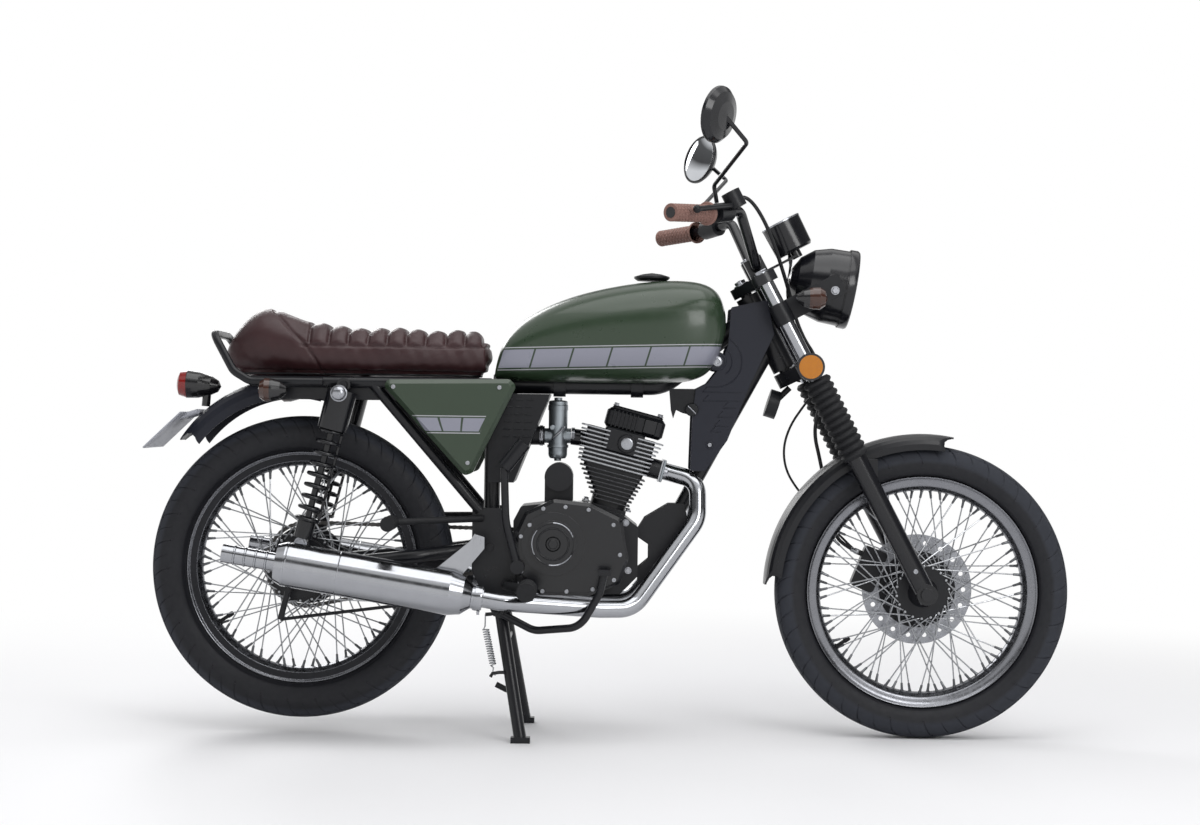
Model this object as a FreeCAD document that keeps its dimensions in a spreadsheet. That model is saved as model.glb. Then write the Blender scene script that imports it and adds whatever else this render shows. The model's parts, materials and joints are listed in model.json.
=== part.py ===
import FreeCAD, Part
import math
import os
import Sketcher

# Cafe racer motorcycle on its centre stand, built as a tree of separate pieces.
# Frame: +X to the front, +Y to the left, +Z up. The origin is on the ground,
# half way between the tail and the front tyre. All lengths are in millimetres.

SIZES = {
    # Wheels and tyres
    "wheelbase": 1313,
    "tail_reach": 326,
    "front_tyre_radius": 311,
    "front_tyre_width": 90,
    "rear_tyre_radius": 320,
    "rear_tyre_width": 104,
    "tyre_seat_radius": 225,
    "rear_wheel_lift": 28,
    "rim_flange_radius": 245,
    "rim_width": 58,
    "rim_wall": 4,
    "rim_well_radius": 214,
    "spoke_size": 3.6,
    "spoke_count": 72,
    "spoke_lap": 52,
    "hub_radius": 59,
    "hub_flange_thick": 5,
    "hub_half_width": 34,
    "hub_waist_radius": 32,
    "rear_drum_radius": 74,
    "axle_radius": 8,
    "axle_nut_radius": 14,
    "axle_nut_thick": 9,
    "disc_radius": 118,
    "disc_bore_radius": 70,
    "disc_thick": 4,
    "disc_offset": 60,
    "disc_carrier_radius": 82,
    "disc_hole_radius": 5,
    "disc_hole_count": 18,
    # Clearances
    "seat_gap": 0.3,
    "running_gap": 0.05,
    "cut_overrun": 5,
    # Steering
    "rake_angle": 27.9,
    "fork_offset": 42,
    "fork_half_gap": 92,
    "fork_tube_radius": 15.5,
    "slider_radius": 21,
    "slider_drop": 14,
    "slider_top": 321,
    "gaiter_top": 505,
    "gaiter_radius": 30,
    "gaiter_waist_radius": 25,
    "gaiter_rib_count": 12,
    "lower_clamp_reach": 534,
    "upper_clamp_reach": 742,
    "clamp_thick": 30,
    "upper_clamp_thick": 22,
    "clamp_ear_radius": 27,
    "head_tube_radius": 25,
    "stem_radius": 12.5,
    "head_lug_gap": 4,
    # Handlebar
    "bar_radius": 11,
    "bar_seat_rise": 20,
    "bar_clamp_half": 34,
    "bar_clamp_thick": 24,
    "bar_clamp_radius": 20,
    "bar_rise": 116,
    "bar_rise_forward": 14,
    "bar_centre_half": 62,
    "bar_shoulder_half": 158,
    "bar_sweep_back": 47,
    "bar_flange_half": 240,
    "bar_flange_rise": 132,
    "bar_end_back": 128,
    "bar_end_half": 352,
    "bar_end_rise": 166,
    "bar_bend_radius": 32,
    "grip_radius": 17.5,
    "grip_flange_radius": 24,
    "switch_radius": 20,
    "reservoir_radius": 20,
    "reservoir_depth": 36,
    "reservoir_forward": 34,
    "lever_radius": 5.5,
    "mirror_radius": 56,
    "mirror_depth": 24,
    "mirror_glass_thick": 3,
    "mirror_stem_radius": 4.5,
    "mirror_half": 410,
    "mirror_height": 1269,
    "mirror_x": 198,
    "mirror_turn": 33,
    "mirror_tilt": 15,
    # Instruments and lamps
    "dial_radius": 44,
    "dial_depth": 68,
    "dial_rim": 5,
    "dial_forward": 93,
    "dial_reach": 834,
    "headlamp_radius": 82,
    "headlamp_depth": 132,
    "headlamp_rim": 14,
    "headlamp_forward": 158,
    "headlamp_reach": 640,
    "headlamp_droop": 10,
    "headlamp_bracket_thick": 5,
    "headlamp_bracket_width": 46,
    "front_lamp_length": 66,
    "front_lamp_radius": 23,
    "front_lamp_forward": 66,
    "front_lamp_reach": 660,
    "front_lamp_stalk": 18,
    "reflector_radius": 29,
    "reflector_thick": 8,
    # Front mudguard and brake
    "guard_radius": 335,
    "guard_half_width": 56,
    "guard_skirt": 34,
    "guard_wall": 3,
    "guard_turn": -88,
    "guard_sweep": 99,
    "guard_stay_radius": 5,
    "caliper_length": 92,
    "caliper_height": 52,
    "caliper_inner": 40,
    "caliper_disc_gap": 5,
    "caliper_angle": 158,
    # Hose and cable
    "hose_radius": 4,
    "cable_radius": 2.6,
    "gland_radius": 6,
    "gland_length": 12,
    # Frame tubes
    "backbone_radius": 20,
    "backbone_height": 741,
    "backbone_bend_x": 110,
    "backbone_head_reach": 690,
    "backbone_bend_radius": 80,
    "downtube_radius": 15,
    "downtube_head_reach": 612,
    "downtube_foot_x": 139,
    "downtube_foot_height": 462,
    "engine_plate_thick": 5,
    "engine_plate_half": 20,
    "seat_tube_radius": 17,
    "seat_tube_top_x": -250,
    "frame_plate_thick": 6,
    "frame_plate_top": 480,
    "frame_plate_back": -288,
    "frame_plate_front": -196,
    "rail_radius": 12,
    "rail_half": 100,
    "rail_web_depth": 36,
    "rail_end_x": -752,
    "brace_radius": 11,
    "brace_top_x": -500,
    "brace_foot_x": -272,
    "brace_foot_height": 474,
    "rail_cross_x": -519,
    # Tank
    "tank_setback": 425,
    "tank_length": 484,
    "tank_base_height": 745,
    "tank_height": 219,
    "tank_half_width": 134,
    "tank_cap_radius": 38,
    "section_point_count": 16,
    "tank_cap_height": 17,
    "tank_cap_back": 155,
    "tunnel_gap": 6,
    "tank_pad_length": 26,
    # Seat
    "seat_tank_gap": 8,
    "seat_length": 573,
    "seat_base_height": 752,
    "seat_height": 142,
    "seat_half_width": 118,
    # Side covers and air box
    "cover_half": 125.3,
    "cover_thick": 26,
    "cover_length": 288,
    "cover_height": 202,
    "cover_front_x": -197,
    "cover_top_height": 750,
    "cover_round": 12,
    "cover_bevel": 9,
    "airbox_half": 88,
    "airbox_length": 128,
    "airbox_height": 186,
    "airbox_front_x": -128,
    "airbox_top_height": 720,
    "shroud_half": 62,
    "shroud_wall": 5,
    "shroud_length": 158,
    "shroud_height": 362,
    "shroud_back_x": 168,
    "shroud_base_height": 562,
    "shroud_bolt_x": 222,
    "shroud_bolt_height": 620,
    "shroud_stay_x": 305,
    "shroud_stay_height": 872,
    "shroud_stay_radius": 6,
    # Engine
    "engine_front_x": 60,
    "engine_base_height": 302,
    "case_length": 262,
    "case_height": 190,
    "case_half_width": 74,
    "case_round": 14,
    "cover_depth": 54,
    "clutch_cover_length": 236,
    "clutch_cover_height": 200,
    "clutch_cover_back_x": -195.6,
    "clutch_cap_radius": 49,
    "clutch_cap_depth": 12,
    "clutch_boss_radius": 66,
    "crank_x": -117,
    "crank_height": 409,
    "generator_radius": 82,
    "generator_depth": 46,
    "generator_x": -60,
    "cylinder_lean": 14.5,
    "cylinder_base_x": -12,
    "cylinder_base_height": 486,
    "barrel_radius": 38,
    "barrel_height": 76,
    "barrel_fin_length": 96,
    "barrel_fin_width": 104,
    "fin_thick": 2.6,
    "fin_pitch": 8.4,
    "barrel_fin_count": 8,
    "head_height": 70,
    "head_core_length": 84,
    "head_core_width": 78,
    "head_fin_length": 148,
    "head_fin_width": 128,
    "head_fin_count": 7,
    "head_shift": 20,
    "rocker_height": 48,
    "rocker_length": 112,
    "rocker_width": 92,
    "starter_radius": 30,
    "starter_length": 92,
    "starter_x": -108,
    "starter_height": 546,
    "carb_radius": 20,
    "carb_height": 96,
    "carb_x": -112,
    "carb_base_height": 592,
    "intake_radius": 16,
    # Exhaust
    "header_radius": 18,
    "header_bend_radius": 60,
    "port_rise": 103,
    "port_half": 22,
    "port_flange_thick": 8,
    "port_flange_half": 44,
    "port_flange_height": 48,
    "header_knee_reach": 82,
    "header_knee_half": 46,
    "header_front_x": 185,
    "header_front_height": 461,
    "header_front_half": 70,
    "header_heel_x": 50,
    "header_heel_half": 130,
    "header_low_x": -18,
    "header_low_height": 276,
    "header_low_half": 146,
    "muffler_radius": 46,
    "muffler_half": 192,
    "muffler_front_x": -276,
    "muffler_front_height": 301,
    "muffler_length": 430,
    "muffler_slope": 9.3,
    "muffler_neck_radius": 24,
    "hanger_half": 158,
    "hanger_width": 30,
    "hanger_thick": 5,
    "hanger_height": 414,
    "tail_pipe_radius": 19,
    "tail_pipe_length": 112,
    "tail_pipe_wall": 2,
    # Rear suspension
    "pivot_x": -251,
    "pivot_height": 397,
    "pivot_radius": 20,
    "arm_radius": 15,
    "arm_half": 94,
    "shock_half": 128,
    "shock_top_x": -555,
    "shock_foot_x": -640,
    "shock_foot_height": 404,
    "shock_eye_radius": 14,
    "shock_eye_width": 22,
    "shock_can_radius": 31,
    "shock_can_length": 96,
    "shock_body_radius": 19,
    "spring_radius": 27,
    "spring_wire": 4,
    "spring_turns": 9,
    "shock_rod_radius": 7,
    # Chain drive and rear brake
    "chain_line": 66,
    "chain_width": 14,
    "chain_height": 12,
    "front_sprocket_radius": 30,
    "front_sprocket_x": -196,
    "front_sprocket_height": 392,
    "rear_sprocket_radius": 84,
    "sprocket_thick": 6,
    "brake_panel_thick": 7,
    "brake_arm_length": 62,
    "brake_arm_width": 16,
    "brake_arm_thick": 6,
    "brake_rod_radius": 3.5,
    # Tail
    "tail_guard_centre_back": 19,
    "tail_guard_centre_rise": 114,
    "tail_guard_radius": 289.5,
    "tail_guard_half_width": 68,
    "tail_guard_skirt": 46,
    "tail_guard_turn": -58,
    "tail_guard_sweep": 76,
    "grab_radius": 8.5,
    "grab_half": 104,
    "grab_top_x": -831,
    "grab_top_height": 838,
    "grab_bend_radius": 34,
    "tail_lamp_radius": 30,
    "tail_lamp_length": 72,
    "tail_lens_length": 20,
    "tail_lamp_x": -902,
    "tail_lamp_height": 733,
    "tail_lamp_tilt": 4,
    "tail_stem_radius": 9,
    "tail_stem_angle": 49,
    "tail_bracket_angle": 46,
    "plate_width": 226,
    "plate_length": 108,
    "plate_thick": 3,
    "plate_slope": 44,
    "plate_top_height": 672,
    "rear_lamp_radius": 24,
    "rear_lamp_length": 62,
    "rear_lamp_half": 150,
    "rear_lamp_x": -700,
    # Pegs and foot controls
    "peg_radius": 13,
    "peg_rubber_radius": 19,
    "peg_rubber_length": 104,
    "peg_half": 300,
    "peg_x": -167,
    "peg_height": 320,
    "peg_arm_x": -214,
    "peg_arm_height": 322,
    "peg_arm_half": 150,
    "rear_peg_half": 270,
    "rear_peg_x": -449,
    "rear_peg_height": 452,
    "rear_peg_radius": 15,
    "rear_peg_rod_radius": 7,
    "kick_shaft_x": -190,
    "kick_shaft_height": 361,
    "kick_half": 150,
    "kick_arm_radius": 8,
    "kick_arm_rise": 206,
    "kick_pedal_radius": 15,
    "kick_pedal_length": 66,
    "foot_rod_radius": 8,
    "gear_shaft_x": -150,
    "gear_shaft_height": 330,
    "gear_half": 150,
    # Centre stand
    "stand_pivot_x": -226,
    "stand_pivot_height": 268,
    "stand_shaft_radius": 8,
    "stand_boss_radius": 15,
    "stand_boss_length": 22,
    "stand_leg_radius": 13,
    "stand_foot_x": -179,
    "stand_foot_half": 160,
    "stand_foot_length": 40,
    "stand_foot_width": 26,
    "stand_foot_thick": 6,
    "stand_brace_drop": 66,
    "stand_brace_radius": 8,
    "stand_tang_rise": 72,
    "stand_tang_length": 52,
    # Horn
    "horn_back": 98,
    "horn_reach": 498,
    "horn_radius": 30,
    "horn_depth": 24,
}

# Shares of a piece's own length, height or width, chosen by hand along its outline.
GUARD_SECTION_SHARES = ((1.0, 1.0), (1.0, 0.62), (0.95, 0.36), (0.84, 0.18), (0.66, 0.075), (0.36, 0.015))
TANK_STATION_SHARES = (0.0, 0.02, 0.06, 0.14, 0.28, 0.46, 0.66, 0.82, 0.92, 0.975, 1.0)
TANK_TOP_SHARES = (0.09, 0.30, 0.47, 0.63, 0.79, 0.91, 0.985, 1.0, 0.96, 0.86, 0.70)
TANK_BASE_SHARES = (0.045, 0.02, 0.01, 0.0, 0.0, 0.0, 0.0, 0.02, 0.10, 0.28, 0.46)
TANK_WIDTH_SHARES = (0.52, 0.60, 0.66, 0.73, 0.84, 0.94, 1.0, 1.0, 0.92, 0.76, 0.52)
TANK_PAD_SHARES = (0.28, 0.62)
SEAT_STATION_SHARES = (0.0, 0.03, 0.10, 0.30, 0.55, 0.70, 0.78, 0.84, 0.91, 0.96, 0.99, 1.0)
SEAT_TOP_SHARES = (0.55, 0.64, 0.66, 0.665, 0.69, 0.80, 0.93, 1.0, 0.86, 0.62, 0.36, 0.20)
SEAT_BASE_SHARES = (0.06, 0.02, 0.0, 0.0, 0.0, 0.0, 0.0, 0.0, 0.02, 0.06, 0.12, 0.15)
SEAT_WIDTH_SHARES = (0.66, 0.72, 0.80, 0.96, 1.0, 1.0, 0.97, 0.93, 0.83, 0.70, 0.52, 0.38)
COVER_OUTLINE_SHARES = ((0.0, 0.98), (0.95, 1.0), (1.0, 0.93), (0.69, 0.03), (0.63, 0.0))
AIRBOX_OUTLINE_SHARES = ((0.13, 1.0), (1.0, 1.0), (0.42, 0.0), (0.0, 0.0), (0.0, 0.55))
SHROUD_OUTLINE_SHARES = ((0.0, 0.0), (0.20, 0.0), (0.49, 0.18), (0.78, 0.50), (1.10, 0.80), (1.0, 1.0),
                         (0.52, 0.955), (0.487, 0.74), (0.40, 0.615), (0.22, 0.513), (0.063, 0.478),
                         (0.02, 0.326))
CASE_OUTLINE_SHARES = ((0.0, 0.22), (0.10, 0.0), (0.86, 0.0), (1.0, 0.20), (1.0, 0.74),
                       (0.86, 0.89), (0.30, 1.0), (0.06, 0.96), (0.0, 0.80))
CLUTCH_OUTLINE_SHARES = ((0.0, 0.24), (0.22, 0.0), (0.66, 0.0), (0.92, 0.12), (1.0, 0.38),
                         (0.94, 0.80), (0.66, 0.96), (0.34, 1.0), (0.08, 0.86), (0.0, 0.66))

# Routes of the hose and the cable, in millimetres along the fork: ahead of it, across
# to the left, and up it from the front axle. The points pull one smooth curve.
BRAKE_HOSE_ROUTE = ((20, -186, 912), (34, -160, 912), (48, -136, 892), (54, -112, 848), (52, -88, 796),
                    (46, -62, 744), (38, -42, 692), (27, -22, 640), (24, -8, 590), (30, 6, 550),
                    (24, 24, 505), (8, 44, 462), (-20, 56, 432), (-44, 66, 396), (-56, 72, 346),
                    (-72, 75, 290), (-88, 74, 232), (-105, 64, 182), (-91, 56, 147), (-75.6, 55, 128.5))
SPEED_CABLE_ROUTE = ((80, 28, 755.6), (72, 40, 738), (46, 53, 705), (28, 54, 655), (24, 50, 600),
                     (28, 46, 552), (22, 42, 508), (-4, 39, 479), (-40, 39, 462), (-84, 43, 438),
                     (-118, 52, 402), (-134, 63, 356), (-130, 73, 308), (-116, 79, 248), (-96, 84, 185),
                     (-76, 88, 125), (-54, 91, 84), (-33, 92, 58))

doc = FreeCAD.newDocument("cafe_racer")
sheet = doc.addObject("Spreadsheet::Sheet", "sizes")
V = FreeCAD.Vector


class Size(float):
    """A number from the sheet that keeps the expression it comes from."""

    def __new__(cls, value, text):
        number = float.__new__(cls, value)
        number.text = text
        return number

    def __add__(self, other):
        return Size(float(self) + float(other), "(%s + %s)" % (self.text, text_of(other)))

    def __radd__(self, other):
        return Size(float(other) + float(self), "(%s + %s)" % (text_of(other), self.text))

    def __sub__(self, other):
        return Size(float(self) - float(other), "(%s - %s)" % (self.text, text_of(other)))

    def __rsub__(self, other):
        return Size(float(other) - float(self), "(%s - %s)" % (text_of(other), self.text))

    def __mul__(self, other):
        return Size(float(self) * float(other), "(%s * %s)" % (self.text, text_of(other)))

    def __rmul__(self, other):
        return Size(float(other) * float(self), "(%s * %s)" % (text_of(other), self.text))

    def __truediv__(self, other):
        return Size(float(self) / float(other), "(%s / %s)" % (self.text, text_of(other)))

    def __neg__(self):
        return Size(-float(self), "(0 - %s)" % self.text)


def text_of(number):
    return number.text if isinstance(number, Size) else repr(float(number))


def cosine(angle):
    return Size(math.cos(math.radians(angle)), "cos(%s)" % text_of(angle))


def sine(angle):
    return Size(math.sin(math.radians(angle)), "sin(%s)" % text_of(angle))


class Sizes:
    """The sheet's values, one attribute for each alias."""


def fill_sheet():
    """Write every driving size to the sheet and return the values by name."""
    values = Sizes()
    for row, (alias, value) in enumerate(SIZES.items(), 1):
        sheet.set("A%d" % row, alias)
        sheet.set("B%d" % row, str(value))
        sheet.setAlias("B%d" % row, alias)
        setattr(values, alias, Size(value, "sizes." + alias))
    doc.recompute()
    return values


S = fill_sheet()
ZERO = Size(0, "0")
FULL_TURN = 360
SAME_PLACE = 0.001
BEND_SHARE = 0.45

# Places that follow from the driving sizes.
rear_axle_x = (S.tail_reach - S.wheelbase - S.front_tyre_radius) / 2
front_axle_x = rear_axle_x + S.wheelbase
rear_axle_height = S.rear_tyre_radius + S.rear_wheel_lift
front_axle_height = S.front_tyre_radius
steer_cos = cosine(S.rake_angle)
steer_sin = sine(S.rake_angle)


def on_fork(forward, side, reach):
    """World place of a point given along the fork, from the front axle."""
    x = front_axle_x + forward * steer_cos - reach * steer_sin
    z = front_axle_height + forward * steer_sin + reach * steer_cos
    return (x, side, z)


def bind(thing, prop, number):
    """Tie one property of an object to the sheet."""
    if isinstance(number, Size):
        thing.setExpression(prop, number.text)
    else:
        setattr(thing, prop, number)


def place(thing, x=ZERO, y=ZERO, z=ZERO, turn=None, axis="y"):
    """Tie an object's place, and its turn about one axis, to the sheet."""
    thing.setExpression("Placement.Base.x", x.text)
    thing.setExpression("Placement.Base.y", y.text)
    thing.setExpression("Placement.Base.z", z.text)
    if turn is not None:
        for name in "xyz":
            thing.setExpression("Placement.Rotation.Axis." + name, "1" if name == axis else "0")
        thing.setExpression("Placement.Rotation.Angle", text_of(turn))
    return thing


def on_steering(thing):
    """Stand a piece made along the fork on the front axle, leaning back by the rake."""
    return place(thing, front_axle_x, ZERO, front_axle_height, -S.rake_angle)


def body(name):
    return doc.addObject("PartDesign::Body", name)


def origin_plane(owner, role):
    return [item for item in owner.Origin.OriginFeatures if item.Role == role][0]


def sketch_on(owner, name, role):
    sketch = owner.newObject("Sketcher::SketchObject", name)
    sketch.AttachmentSupport = (origin_plane(owner, role), [""])
    sketch.MapMode = "FlatFace"
    return sketch


def pin(sketch, edge, end, x, y):
    """Hold one end of an edge at a place worked out from the sheet."""
    for kind, number in (("DistanceX", x), ("DistanceY", y)):
        held = Sketcher.Constraint(kind, -1, 1, edge, end, float(number))
        index = sketch.addConstraint(held)
        if isinstance(number, Size):
            sketch.setExpression("Constraints[%d]" % index, number.text)


def outline(owner, name, role, points):
    """A closed outline of straight edges through pinned points."""
    sketch = sketch_on(owner, name, role)
    count = len(points)
    ends = [V(float(x), float(y), 0) for x, y in points]
    for index in range(count):
        sketch.addGeometry(Part.LineSegment(ends[index], ends[(index + 1) % count]), False)
    for index in range(count):
        follower = (index + 1) % count
        sketch.addConstraint(Sketcher.Constraint("Coincident", index, 2, follower, 1))
        pin(sketch, index, 1, points[index][0], points[index][1])
    return sketch


def ring(sketch, x, y, radius):
    """A pinned circle in a sketch."""
    centre = V(float(x), float(y), 0)
    edge = sketch.addGeometry(Part.Circle(centre, V(0, 0, 1), float(radius)), False)
    pin(sketch, edge, 3, x, y)
    index = sketch.addConstraint(Sketcher.Constraint("Radius", edge, float(radius)))
    sketch.setExpression("Constraints[%d]" % index, text_of(radius))
    return sketch


def pad(owner, sketch, length, both_ways=False, reverse=False):
    feature = owner.newObject("PartDesign::Pad", sketch.Name + "_pad")
    feature.Profile = sketch
    bind(feature, "Length", length)
    feature.Midplane = both_ways
    feature.Reversed = reverse
    sketch.Visibility = False
    return feature


def pocket(owner, sketch, length, both_ways=False, reverse=False):
    feature = owner.newObject("PartDesign::Pocket", sketch.Name + "_pocket")
    feature.Profile = sketch
    bind(feature, "Length", length)
    feature.Midplane = both_ways
    feature.Reversed = reverse
    return feature


def turn(owner, sketch, axis="H_Axis", angle=FULL_TURN):
    feature = owner.newObject("PartDesign::Revolution", sketch.Name + "_turn")
    feature.Profile = sketch
    feature.ReferenceAxis = (sketch, [axis])
    bind(feature, "Angle", angle)
    return feature


def turned(name, points, role="YZ_Plane", axis="H_Axis", angle=FULL_TURN):
    """A body of revolution from a pinned outline."""
    owner = body(name)
    turn(owner, outline(owner, name + "_profile", role, points), axis, angle)
    return owner


def prism(name, points, thick, role="XZ_Plane", both_ways=True, rounding=None):
    """A padded outline, with its long edges rounded."""
    owner = body(name)
    feature = pad(owner, outline(owner, name + "_outline", role, points), thick, both_ways)
    if rounding is not None:
        doc.recompute()
        direction = {"XZ_Plane": V(0, 1, 0), "YZ_Plane": V(1, 0, 0), "XY_Plane": V(0, 0, 1)}[role]
        names = side_edges(feature.Shape, direction)
        fillet = owner.newObject("PartDesign::Fillet", name + "_round")
        fillet.Base = (feature, names)
        bind(fillet, "Radius", rounding)
    return owner


def bevelled(owner, y, size):
    """Chamfer every edge of a body's face that lies at one place across the bike."""
    doc.recompute()
    feature = owner.Tip
    names = []
    for index, edge in enumerate(feature.Shape.Edges):
        if all(abs(corner.Y - float(y)) < SAME_PLACE for corner in edge.Vertexes):
            names.append("Edge%d" % (index + 1))
    chamfer = owner.newObject("PartDesign::Chamfer", owner.Name + "_bevel")
    chamfer.Base = (feature, names)
    bind(chamfer, "Size", size)
    return owner


def side_edges(shape, direction):
    """Names of the straight edges that run along a direction."""
    names = []
    for index, edge in enumerate(shape.Edges):
        if edge.Curve.TypeId != "Part::GeomLine":
            continue
        run = edge.tangentAt(edge.FirstParameter)
        if abs(run.dot(direction)) > 0.999:
            names.append("Edge%d" % (index + 1))
    return names


def vector(point):
    return V(float(point[0]), float(point[1]), float(point[2]))


def facing(direction):
    """The turn that points +Z along a direction."""
    return FreeCAD.Rotation(V(0, 0, 1), direction)


def rod(name, start, end, radius, sides=None):
    """A straight round bar, or one with a few flat sides, between two places."""
    first, last = vector(start), vector(end)
    kind = "Part::Cylinder" if sides is None else "Part::Prism"
    bar = doc.addObject(kind, name)
    bind(bar, "Radius" if sides is None else "Circumradius", radius)
    if sides is not None:
        bar.Polygon = sides
    bar.Height = (last - first).Length
    bar.Placement = FreeCAD.Placement(first, facing(last - first))
    return bar


def rounded_path(points, bend):
    """Straight runs joined by tangent arcs, each no larger than its runs allow."""
    places = [vector(point) for point in points]
    edges = []
    start = places[0]
    for index in range(1, len(places) - 1):
        corner = places[index]
        back = (places[index - 1] - corner)
        ahead = (places[index + 1] - corner)
        half = math.pi / 2 - back.getAngle(ahead) / 2
        room = BEND_SHARE * min(back.Length, ahead.Length)
        trim = min(float(bend) * math.tan(half), room)
        back.normalize()
        ahead.normalize()
        leave = corner + back * trim
        join = corner + ahead * trim
        middle = back + ahead
        middle.normalize()
        radius = trim / math.tan(half)
        crest = corner + middle * (radius / math.cos(half) - radius)
        edges.append(Part.LineSegment(start, leave).toShape())
        edges.append(Part.Arc(leave, crest, join).toShape())
        start = join
    edges.append(Part.LineSegment(start, places[-1]).toShape())
    return Part.Wire(edges)


def bent_tube(name, points, radius, bend):
    """A round tube swept along a path of runs and bends."""
    spine = doc.addObject("Part::Feature", name + "_line")
    spine.Shape = rounded_path(points, bend)
    section = doc.addObject("Part::Circle", name + "_section")
    bind(section, "Radius", radius)
    run = vector(points[1]) - vector(points[0])
    section.Placement = FreeCAD.Placement(vector(points[0]), facing(run))
    tube = doc.addObject("Part::Sweep", name)
    tube.Sections = [section]
    tube.Spine = (spine, ["Edge%d" % (index + 1) for index in range(len(spine.Shape.Edges))])
    tube.Solid = True
    tube.Frenet = False
    return tube


def cord(name, route, radius):
    """A hose or cable of straight runs joined by the largest arcs that they allow."""
    bends = []
    for before, corner, after in zip(route, route[1:], route[2:]):
        back = vector(before) - vector(corner)
        ahead = vector(after) - vector(corner)
        half = math.pi / 2 - back.getAngle(ahead) / 2
        bends.append(BEND_SHARE * min(back.Length, ahead.Length) / math.tan(half))
    print("%s bends, mm: %s" % (name, " ".join("%.0f" % bend for bend in bends)))
    return bent_tube(name, route, radius, math.inf)


def gland(name, end, inward):
    """The short collar that a hose or cable comes out of, from the route's end inward."""
    start = vector(end)
    back = vector(end) - vector(inward)
    back.normalize()
    face = start + back * float(S.seat_gap)
    return rod(name, tuple(face), tuple(face + back * float(S.gland_length)), S.gland_radius)


def drum(name, centre, axis, radius, length):
    """A short cylinder centred on a place."""
    middle, run = vector(centre), vector(axis)
    run.normalize()
    bar = doc.addObject("Part::Cylinder", name)
    bind(bar, "Radius", radius)
    bind(bar, "Height", length)
    bar.Placement = FreeCAD.Placement(middle - run * (float(length) / 2), facing(run))
    return bar


def block(name, low, length, width, height):
    """A box whose sizes are tied to the sheet, from its lowest corner."""
    box = doc.addObject("Part::Box", name)
    bind(box, "Length", length)
    bind(box, "Width", width)
    bind(box, "Height", height)
    return place(box, low[0], low[1], low[2])


def fuse(name, pieces):
    joined = doc.addObject("Part::MultiFuse", name)
    joined.Shapes = pieces
    return joined


def cut(name, base, tool):
    result = doc.addObject("Part::Cut", name)
    result.Base = base
    result.Tool = tool
    return result


def group(name, pieces):
    """Like pieces of one body that don't touch, kept in one node."""
    gathered = doc.addObject("Part::Compound", name)
    gathered.Links = pieces
    return gathered


NODES = []


def node(thing, name):
    """Give a finished sub-part the name of its file."""
    thing.Label = name
    NODES.append(thing)
    return thing


# Wheels. Each is made about its own axle, which lies along Y, and then set in place.

DEGREES = math.degrees(1)
GUARD_TIP_SHARE = 0.8
GUARD_ROUND_SHARE = 1.04
TYRE_SHOULDER_SHARES = ((0.86, 0.28), (1.0, 0.50), (0.95, 0.72), (0.74, 0.89), (0.40, 0.975))


def tyre(name, radius, width):
    bead = S.rim_width / 2 - S.rim_wall - S.seat_gap
    half = width / 2
    depth = radius - S.tyre_seat_radius
    side = [(bead, S.tyre_seat_radius), (bead, S.rim_flange_radius + S.seat_gap)]
    side += [(across * half, S.tyre_seat_radius + rise * depth)
             for across, rise in TYRE_SHOULDER_SHARES]
    crown = [(ZERO, radius)]
    return turned(name, side + crown + [(-y, z) for y, z in reversed(side)])


def rim(name):
    half = S.rim_width / 2
    lip = half - S.rim_wall
    seat = S.tyre_seat_radius - S.seat_gap
    side = [(half, seat - S.rim_wall), (half, S.rim_flange_radius), (lip, S.rim_flange_radius),
            (lip, seat), (half * 0.5, seat), (half * 0.36, S.rim_well_radius + S.rim_wall)]
    inner = [(half * 0.5, seat - S.rim_wall), (half * 0.3, S.rim_well_radius)]
    far = [(-y, z) for y, z in reversed(side)]
    back = [(-y, z) for y, z in inner]
    return turned(name, side + far + back + list(reversed(inner)))


def spokes(name, flange_half, flange_radius):
    """Crossed spokes from the hub's two flanges to the rim, laced in four sets."""
    bars = []
    step = math.radians(FULL_TURN / float(S.spoke_count))
    lap = math.radians(float(S.spoke_lap))
    rim_end = S.rim_well_radius + S.rim_wall / 2
    offset = S.hub_flange_thick / 2 + S.spoke_size / 2 + S.seat_gap * 7
    for index in range(int(S.spoke_count)):
        side = 1 if index % 2 else -1
        lean = 1 if (index // 2) % 2 else -1
        outer = index * step
        inner = outer + lean * lap
        foot = (flange_radius * math.cos(inner), side * (flange_half + lean * offset),
                flange_radius * math.sin(inner))
        tip = (rim_end * math.cos(outer), side * S.rim_well_radius * 0.03,
               rim_end * math.sin(outer))
        bars.append(rod("%s_%d" % (name, index), foot, tip, S.spoke_size / 2, sides=4))
    return bars


def laced_rim(name, flange_half, flange_radius):
    return fuse(name, [rim(name + "_hoop")] + spokes(name + "_spoke", flange_half, flange_radius))


def front_hub():
    flange_out = S.hub_half_width + S.hub_flange_thick / 2
    flange_in = S.hub_half_width - S.hub_flange_thick / 2
    bore = S.axle_radius + S.running_gap
    end = S.fork_half_gap - S.slider_radius - S.seat_gap
    seat = S.disc_offset - S.disc_thick / 2
    boss = S.hub_waist_radius * 0.62
    points = [(-end, bore), (-end, boss), (-flange_out, S.hub_waist_radius), (-flange_out, S.hub_radius),
              (-flange_in, S.hub_radius), (-flange_in, S.hub_waist_radius),
              (flange_in, S.hub_waist_radius), (flange_in, S.hub_radius), (flange_out, S.hub_radius),
              (flange_out, S.hub_waist_radius), (seat - S.hub_flange_thick, S.hub_waist_radius),
              (seat - S.hub_flange_thick, S.disc_carrier_radius), (seat, S.disc_carrier_radius),
              (seat, boss), (end, boss), (end, bore)]
    return turned("front_hub_form", points)


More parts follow.
